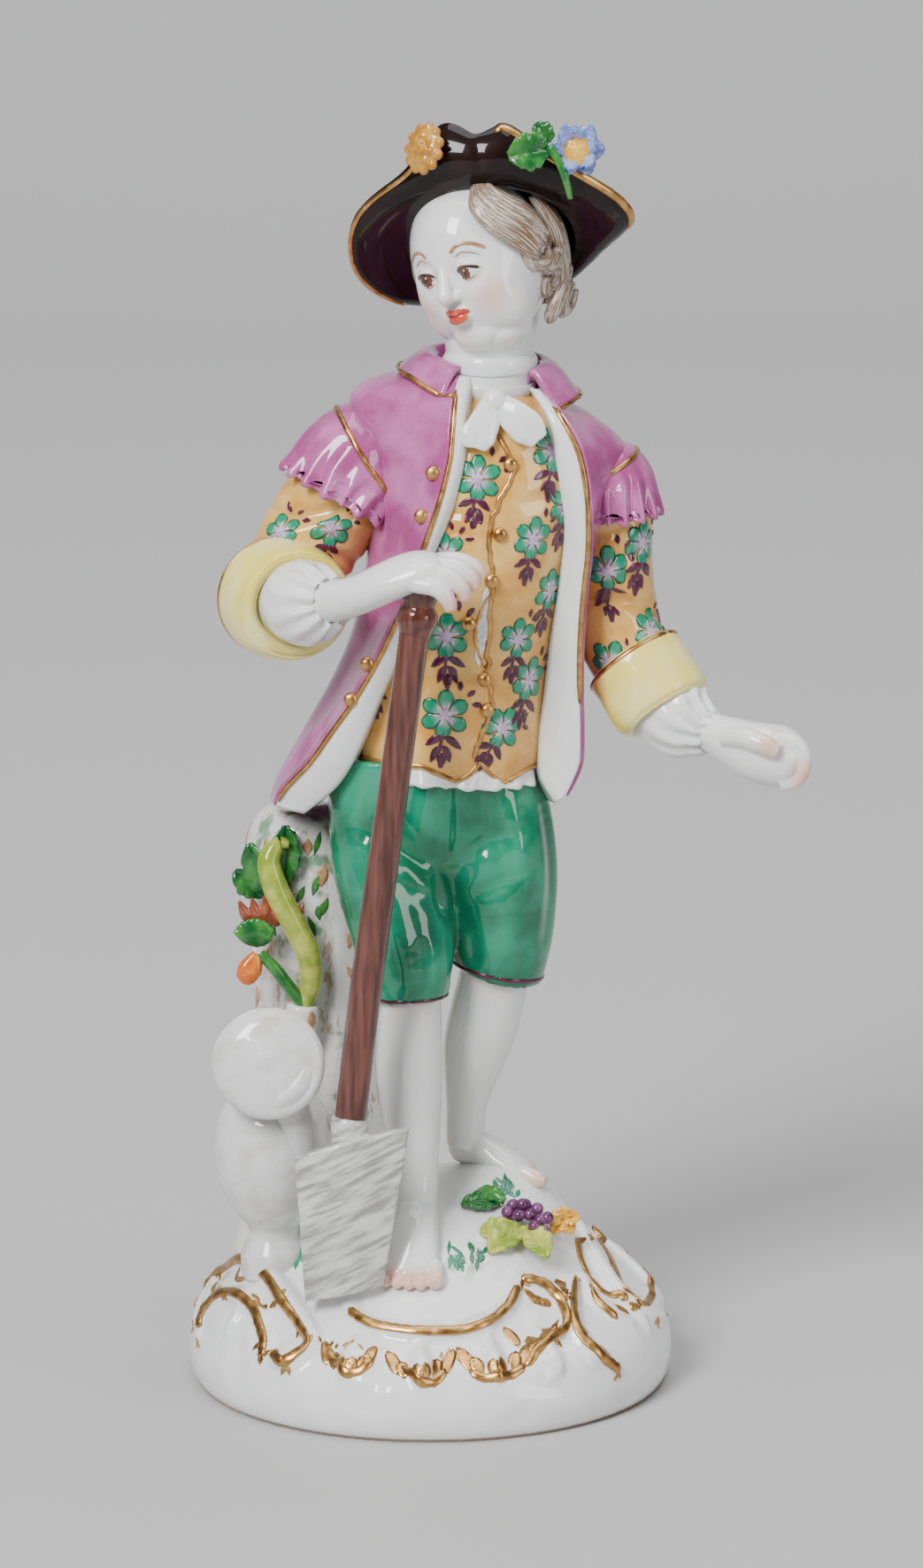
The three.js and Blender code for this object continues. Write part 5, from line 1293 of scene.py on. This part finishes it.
bm = solid(sheet(hatSpot, 200, 64, closed=True), 1.0)
softened(bm)
hatSkin = skinOf(bm)
keep("hat", bm, "black", ["hat_brim", "hat_crown"])
rimGold = bmesh.new()
for first, last, width in ((0.0, 0.235, 0.95), (0.27, 0.47, 0.6), (0.53, 0.60, 0.6), (0.615, 0.92, 0.6)):
    forward = -0.9 if first < 0.2 or first > 0.6 else 0.9
    trace(rimGold, hatSkin,
          [hatSpot(u, 0.016) + Vector((0, forward, 0)) for u in np.linspace(first, last, 60)],
          width=width, height=0.2, bare=True)
keep("hat_gilding", rimGold, "gold")

rosette = bmesh.new()
for ring, count, r, size in ((0, 11, 1.95, 0.6), (1, 7, 1.15, 0.55), (2, 3, 0.4, 0.5)):
    for k in range(count):
        angle = k * math.tau / count + ring
        ball((r * math.cos(angle), -0.35 * ring, r * math.sin(angle) * 1.15), (size, 0.5, size), 3, rosette)
ball((0, 0, 0), (2.1, 0.8, 2.5), 4, rosette)
rosette.transform(Matrix.Translation((-0.5, -6.4, 135.3)) @ Matrix.Rotation(math.radians(18), 4,
        "Y") @ Matrix.Rotation(math.radians(-40), 4, "Z"))
keep("hat_rosette", melded(rosette, 0.13, 1), "ochre", ["hat_rosette"])

flower = bmesh.new()
heart = Vector((15.5, -5.9, 135.2))
alongLayer, acrossLayer = layersOf(flower)
for ring, count, reach, rise in ((0, 6, 2.6, 0.3), (1, 5, 1.9, 1.3)):
    for k in range(count):
        angle = k * math.tau / count + 0.4 * ring + chance.uniform(-0.12, 0.12)
        way = Vector((math.cos(angle), 0, math.sin(angle)))
        side = Vector((-math.sin(angle), 0, math.cos(angle)))
        made = bmesh.ops.create_grid(flower, x_segments=8, y_segments=10, size=0.5)["verts"]
        for v in made:
            t, s = v.co.y + 0.5, v.co.x * 2
            wide = 1.3 * math.sin(math.pi * (0.10 + t * 0.78)) ** 0.6
            t *= 1 - 0.22 * s * s
            v[alongLayer], v[acrossLayer] = t, abs(s)
            curl = -0.2 - rise * t - 0.9 * t * t + 0.6 * s * s * t + 0.25 * math.sin(5 * s + k)
            v.co = heart + way * (0.3 + reach * t) + side * wide * s + Vector((0,
                    curl * (1 if ring else 0.6), 0))
keep("hat_flower", solid(flower, 0.35), "blue", ["hat_flower"])
bm = bmesh.new()
for k in range(26):
    angle, r = k * 2.4, 0.27 * math.sqrt(k)
    ball(heart + Vector((r * math.cos(angle), -1.3 + 0.25 * r, r * math.sin(angle))), 0.42, 2, bm)
keep("hat_flower_heart", melded(bm, 0.12, 0), "yellow", ["hat_flower_heart"])


def leaf(name, base, tip, wide, facing, material, slot, nodes=(), curl=0.4, thickness=0.45):
    base, tip = Vector(base), Vector(tip)
    along = tip - base
    facing = (Vector(facing) - along.normalized() * along.normalized().dot(Vector(facing))).normalized()
    side = along.normalized().cross(facing)

    def rule(u, w):
        s = (u - 0.5) * 2
        half = wide * math.sin(math.pi * min(0.97, 0.04 + w * 0.93)) ** 0.75
        half *= 1 + 0.08 * math.sin(w * 26)
        rise = curl * math.sin(math.pi * w) - 0.22 * wide * (1 - abs(s)) ** 2 + 0.12 * math.sin(w * 22
                + abs(s) * 3) * abs(s)
        return base + along * w + side * half * s + facing * rise
    return keep(name, solid(sheet(rule, 14, 20), thickness), material, nodes)


leaf("hat_leaf", (12.5, -6.8, 135.4), (8.3, -7.8, 134.7), 2.0, (0, -1, 0.2), "leaf", "leaf_enamel",
     ["hat_leaf"])
leaf("hat_leaf_small", (12.9, -5.4, 136.2), (11.0, -5.2, 137.6), 1.1, (0, -1, 0.3), "leaf", "leaf_enamel")
bm = tube([(12.6, -6.9, 135.6, 0.5), (13.6, -7.5, 134.0, 0.46), (14.3, -7.8, 132.2, 0.42),
           (14.8, -7.6, 130.2, 0.3)], sides=12, rows=18)
keep("hat_stem", bm, "leaf")
print("hat")

# Spade: the blade's four corners are bottom left and right, then top left and right.
bm = tube([(-8.5, -16.6, 32.4, 1.72), (-6.9, -16.8, 46, 1.72), (-5.0, -17.0, 60, 1.68),
           (-3.1, -17.2, 74, 1.62), (-1.7, -17.4, 84.4, 1.6), (-1.45, -17.4, 85.9, 1.75),
           (-1.3, -17.4, 87.0, 2.15), (-1.15, -17.4, 88.0, 2.1), (-1.05, -17.4, 88.8, 1.7),
           (-0.95, -17.4, 89.7, 1.95), (-0.85, -17.4, 90.8, 1.9), (-0.8, -17.4, 91.4, 1.0)], sides=36,
           rows=110)
keep("spade_shaft", bm, "shaft", ["spade_shaft"])
corners = [Vector(p) for p in ((-13.3, -17.2, 13.0), (-5.0, -17.0, 14.6), (-14.3, -17.9, 29.3),
                               (-2.2, -17.6, 32.4))]


def bladeSpot(u, w):
    low, high = corners[0].lerp(corners[1], u), corners[2].lerp(corners[3], u)
    return low.lerp(high, w) + Vector((0, 0.5 - 0.9 * math.sin(math.pi * u) * (0.4 + 0.6 * w),
                                       0.35 * math.sin(math.pi * u) * w))


bm = solid(sheet(bladeSpot, 24, 30), 1.2)
tube([(-8.6, -17.2, 27.0, 1.0), (-8.6, -17.0, 29.4, 1.6), (-8.55, -16.8, 31.2, 1.9),
      (-8.5, -16.65, 32.8, 2.05), (-8.45, -16.6, 33.3, 1.9)], sides=28, rows=24, bm=bm)
keep("spade_blade", melded(bm, 0.25, 3), "blade", ["spade_blade"])

# Watering can: the foot and body share an axis, the rest have their own paths and radii.
canAxis = (-16.9, -7.6)
can = {
    "foot": (48, 24,
             [(*canAxis, z, r) for z,
              r in ((13.2, 3.5), (15.6, 3.6), (16.8, 3.2), (18.0, 2.7), (19.2, 2.9))]),
    "body": (64, 60,
             [(*canAxis, z, r) for z,
              r in ((18.4, 2.4), (19.2, 3.1), (21.0, 4.5), (24.0, 5.9), (28, 6.4), (31.4, 5.8),
                                                    (33.7, 4.3), (34.6, 2.4), (34.9, 0.6))]),
    "spout": (28, 30, [(-14.2, -9.6, 24.0, 2.2), (-14.0, -11.2, 28, 2.0), (-14.4, -12.4, 32, 1.9),
                       (-15.4, -13.2, 35.4, 2.0),
                       (-16.2, -13.7, 37.2, 2.3)]),
    "rose": (64, 44, [(-16.2, -13.2, 37.6, 2.0), (-16.9, -13.9, 38.4, 4.6), (-17.1, -14.5, 38.7, 5.8),
                      (-17.15, -15.1, 38.8, 6.0),
                      (-17.2, -15.9, 38.95, 5.2), (-17.2, -16.5, 39.05, 3.6), (-17.2, -16.85, 39.1, 1.8),
                      (-17.2, -16.95, 39.1, 0.3)]),
    "handle": (20, 36, [(-12.0, -8.2, 30.2, 0.95), (-9.6, -8.4, 30.4, 0.95), (-8.7, -8.5, 27.6, 0.95),
                        (-9.4, -8.4, 24.4, 0.95),
                        (-11.6, -8.2, 22.6, 0.95)]),
}
for name, (sides, rows, path) in can.items():
    bm = tube(path, sides=sides, rows=rows, front=(0, 0, 1) if name == "rose" else (0, -1, 0))
    keep(f"can_{name}", bm, "can", [f"can_{name}"])

# Tree stump with its shoots.
bm = loft([(-12.6, 7.2, 12, 9.4, 8.4), (-12.6, 7.4, 18, 8.0, 7.0), (-12.4, 7.6, 30, 7.2, 6.4),
           (-12.4, 7.8, 42, 6.8, 6.2), (-12.8, 7.8, 52, 7.2, 6.4), (-13.2, 7.8, 58, 7.0, 6.2),
           (-13.4, 7.8, 61, 5.8, 5.2), (-13.4, 7.8, 61.9, 3.4, 3.0), (-13.4, 7.8, 62, 0.6, 0.6)],
          sides=72, rows=80)
ball((-16.8, 1.8, 30), (2.6, 2.0, 3.6), 4, bm)
ball((-18.0, 5.4, 46), (2.0, 2.6, 3.0), 4, bm)
tube([(-14.2, 3.6, 36, 2.6), (-14.0, 1.4, 38.2, 2.2), (-13.9, 0.2, 40.6, 2.0), (-13.8, 0.0, 41.8, 1.7)],
     sides=28, rows=24, bm=bm)
bm = melded(bm, 0.36, 3)
grooves = []
for k in range(16):
    angle = k * math.tau / 16 + 0.3 * math.sin(k * 2.3)
    low, high = chance.uniform(14, 34), chance.uniform(40, 60)
    grooves.append(("crease",
                    [(-12.6 + 7.2 * math.sin(angle + 0.06 * j) * (1.08 if j == 0 else 1),
                      7.6 - 6.6 * math.cos(angle + 0.06 * j), low + (high - low) * j / 4)
                      for j in range(5)],
                    chance.uniform(1.0, 1.7), chance.uniform(-0.75, -0.35)))
sculpt(bm, grooves)
stumpSkin = skinOf(bm)
keep("tree_stump", bm, "bark", ["tree_stump", "branch_stub"])
bm = tube([(-13.6, -0.2, 41.4, 1.0), (-12.9, -0.8, 44.4, 1.25), (-13.2, -1.3, 47.6, 1.35),
           (-14.9, -1.5, 51.2, 1.35), (-16.6, -1.3, 54.6, 1.4), (-17.4, -0.8, 57.6, 1.25),
           (-16.4, -0.4, 59.4, 0.9), (-15.2, -0.4, 59.4, 0.4)], sides=24, rows=60, front=(1, 0, 0.2))
keep("pod_tall", bm, "lime", ["pod_tall"])
bm = tube([(-13.9, -0.6, 41.8, 0.7), (-15.4, -1.4, 44.0, 0.72), (-16.8, -1.8, 46.0, 0.7),
           (-18.4, -1.6, 47.6, 0.5)], sides=16, rows=30)
keep("flower_stalk", bm, "leaf", ["flower_stalk"])
spray = {"leaf": bmesh.new(), "orange": bmesh.new(), "rust": bmesh.new()}
for k in range(9):
    angle = -0.9 + 0.24 * k
    base = Vector((-18.4, -1.4, 48.6))
    tip = base + Vector((-2.6 * math.sin(angle) - 0.6, -0.5, 3.0 * math.cos(angle)))
    tube([(*base, 0.5), (*base.lerp(tip, 0.5), 0.75), (*tip, 0.2)], sides=12, rows=12, bm=spray["leaf"])
for k in range(6):
    angle = 2.6 + 0.25 * k
    base = Vector((-18.8, -1.6, 47.6))
    tip = base + Vector((1.6 * math.sin(angle) - 1.0, -0.4, 3.4 * math.cos(angle)))
    tube([(*base, 0.5), (*base.lerp(tip, 0.6), 0.8), (*tip, 0.25)], sides=12, rows=12, bm=spray["orange"])
for k in range(6):
    base = Vector((-19.4 + 0.9 * k, -0.6, 50.4))
    tip = base + Vector((0.5 * (k - 2.5), -0.6, 3.6 - 0.3 * abs(k - 2)))
    tube([(*base, 0.35), (*base.lerp(tip, 0.5), 0.62), (*tip, 0.15)], sides=12, rows=12, bm=spray["rust"])
keep("hanging_leaf", melded(spray["leaf"], 0.15, 1), "leaf", ["hanging_flower"])
keep("hanging_leaf_tip", melded(spray["orange"], 0.15, 1), "orange")
keep("red_strokes", melded(spray["rust"], 0.15, 1), "rust")
leaf("stump_leaf", (-17.0, 1.0, 53.0), (-19.6, 0.6, 59.2), 1.9, (-0.5, -1, 0.1), "leaf", "leaf_enamel",
     ["stump_leaf"])
leaf("stump_leaf_wide", (-15.8, 0.6, 55.0), (-15.6, 0.8, 61.2), 1.7, (0, -1, 0.3), "leaf", "leaf_enamel")
leaf("stump_leaf_low", (-18.0, 1.4, 53.4), (-21.2, 1.6, 56.0), 1.5, (-0.4, -1, 0.2), "leaf", "leaf_enamel")
dabs = {"leaf": bmesh.new(), "brownDab": bmesh.new()}
for k in range(56):
    angle, z = chance.uniform(-2.4, 2.4), chance.uniform(38, 60)
    centre = (-12.8 + 8 * math.sin(angle), 7.6 - 8 * math.cos(angle), z)
    stroke(dabs["brownDab"], stumpSkin, centre, (0.3 * math.sin(k), 0, 1), chance.uniform(1.8, 3.6),
           chance.uniform(0.7, 1.3), chance.uniform(-0.5, 0.5))
for k in range(14):
    angle, z = chance.uniform(-0.9, 0.2), chance.uniform(48, 59)
    centre = (-13.2 + 8 * math.sin(angle), 7.6 - 8 * math.cos(angle), z)
    stroke(dabs["leaf"], stumpSkin, centre, (0, 0, 1), chance.uniform(1.6, 3.0),
           chance.uniform(0.7, 1.1), chance.uniform(-0.5, 0.5))
keep("stump_brown_dabs", sheeted(dabs["brownDab"]), "bistre")
keep("stump_green_dabs", sheeted(dabs["leaf"]), "leaf")
print("stump")

# Flowers and leaves laid on the mound.
moundLeaves = {  # base, tip, width, facing, paint, slot and the nodes it stands for
    "green_leaf": ((7.4, -4.2, 20.4), (3.4, -5.4, 20.6), 1.3, (0, -0.5, 1), "leaf", "leaf_enamel",
                   ["green_leaf"]),
    "green_leaf_side": ((8.0, -4.4, 20.6), (5.2, -2.6, 21.4), 1.1, (0, -0.5, 1), "leaf", "leaf_enamel"),
    "yellow_leaf": ((9.8, -7.6, 18.8), (6.4, -11.6, 17.0), 1.6, (0, -0.8, 1), "lime", "lemon_enamel",
                    ["yellow_leaf"]),
    "yellow_leaf_right": ((10.4, -7.6, 18.8), (12.6, -11.4, 16.4), 1.6, (0.1, -0.8, 1), "lime",
                          "lemon_enamel", ["yellow_leaf_small"]),
    "yellow_leaf_left": ((9.2, -7.4, 18.8), (5.4, -9.4, 18.2), 1.4, (-0.1, -0.8, 1), "lime",
                         "lemon_enamel"),
}
for name, settings in moundLeaves.items():
    leaf(name, *settings)
berries = bmesh.new()
for x, y, z in ((8.4, -6.0, 19.8), (9.6, -6.8, 19.7), (10.8, -6.4, 19.7), (11.9, -7.0, 19.2),
                (9.0, -5.2, 20.4), (10.3, -5.4, 20.5), (11.6, -5.6, 20.1), (12.7, -6.4, 19.3),
                (10.0, -6.0, 20.7), (11.3, -7.9, 18.8), (12.4, -8.2, 18.2)):
    ball((x, y, z), 0.72, 3, berries)
keep("grape_flower", berries, "purple", ["grape_flower"])
for k in range(5):
    angle = k * math.tau / 5 + 0.3
    centre = Vector((14.4, -4.6, 18.6))
    leaf(f"orange_petal_{k}", centre,
         centre + Vector((1.9 * math.cos(angle), -0.6, 1.6 * math.sin(angle))), 0.85, (0, -1, 0.5),
         "yellow", "ochre_enamel", ["orange_petal"] if k == 0 else (), thickness=0.35)
for name, slot in (("petal", "green_enamel"), ("lilac", "mauve_enamel"), ("maroon", "purple_enamel")):
    keep(f"painted_{name}", sheeted(paint[name]), name)
keep("gold_lines", paint["gold"], "gold")
print("painting")


# Stage: a floor sweeping up into a cove. Its colour is painted shade and light, running from the dark near
# tone at the front to the light far tone at the back.
stage = {"front": -1500, "flat": 800, "cove": 500, "top": 1800, "width": 4400, "near": (0.45,) * 3,
         "far": (0.74,) * 3}


def stageSheet():
    flat, cove = stage["flat"], stage["cove"]
    curve = [(flat + cove * math.sin(t), cove - cove * math.cos(t))
             for t in np.linspace(0.1, math.pi / 2, 12)]
    bend = [(stage["front"], 0), (flat, 0), *curve, (flat + cove, stage["top"])]

    def rule(u, w):
        k = int(round(w * (len(bend) - 1)))
        return Vector(((u - 0.5) * stage["width"], *bend[k]))
    bm = sheet(rule, 8, len(bend) - 1)
    bm.transform(toFrame)
    mesh = bpy.data.meshes.new("floor")
    bm.to_mesh(mesh)
    bm.free()
    mesh.shade_smooth()
    s = Shader("floor", Roughness=0.55)
    # painted shade and light: the floor colour blends from the dark near tone at the front to the light far
    # tone at the back
    depth = s.node("ShaderNodeSeparateXYZ", {}, s.place(), out="Y").between(-0.2, 1.2)
    mesh.materials.append(s.feed(Base_Color=s.blend(depth, stage["near"], stage["far"])))
    backdrop = bpy.data.objects.new("floor", mesh)
    bpy.context.collection.objects.link(backdrop)
    backdrop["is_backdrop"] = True


stageSheet()


def softbox(name, spot, aim, size, power):
    lamp = bpy.data.lights.new(name, "AREA")
    lamp.shape, lamp.size, lamp.size_y, lamp.energy = "RECTANGLE", size[0], size[1], power
    holder = bpy.data.objects.new(name, lamp)
    holder.location = spot
    holder.rotation_mode = "QUATERNION"
    holder.rotation_quaternion = (Vector(aim) - Vector(spot)).to_track_quat("-Z", "Y")
    bpy.context.collection.objects.link(holder)


lamps = {  # place, aim and size in metres, then watts
    "key": ((-0.45, -0.75, 0.75), (0, 0, 0.07), (0.35, 0.55), 18),
    "fill": ((0.75, -0.55, 0.35), (0, 0, 0.07), (0.3, 0.6), 3.2),
    "top": ((0.1, 0.05, 1.05), (0, 0.1, 0.0), (0.8, 0.7), 7.5),
}
for name, settings in lamps.items():
    softbox(name, *settings)
world = bpy.data.worlds.new("studio")
world.use_nodes = True
world.node_tree.nodes["Background"].inputs["Color"].default_value = (0.75, 0.76, 0.78, 1)
world.node_tree.nodes["Background"].inputs["Strength"].default_value = 0.24
bpy.context.scene.world = world

shot = {"lens": 149.1, "sensor": 36, "aim": (3.4, 0, 66.0), "distance": 700, "tilt": 12}
camera = bpy.data.cameras.new("camera")
camera.lens, camera.sensor_width = shot["lens"], shot["sensor"]
camera.clip_start, camera.clip_end = 0.01, 100
holder = bpy.data.objects.new("camera", camera)
aim, tilt = Vector(shot["aim"]), math.radians(shot["tilt"])
holder.location = toFrame @ (aim + shot["distance"] * Vector((0, -math.cos(tilt), math.sin(tilt))))
holder.rotation_mode = "QUATERNION"
holder.rotation_quaternion = Vector((0, math.cos(tilt), -math.sin(tilt))).to_track_quat("-Z", "Y")
bpy.context.collection.objects.link(holder)
bpy.context.scene.camera = holder

low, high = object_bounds()
{"frame": [list(cadLow), list(cadHigh)], "visual": [list(low), list(high)]}
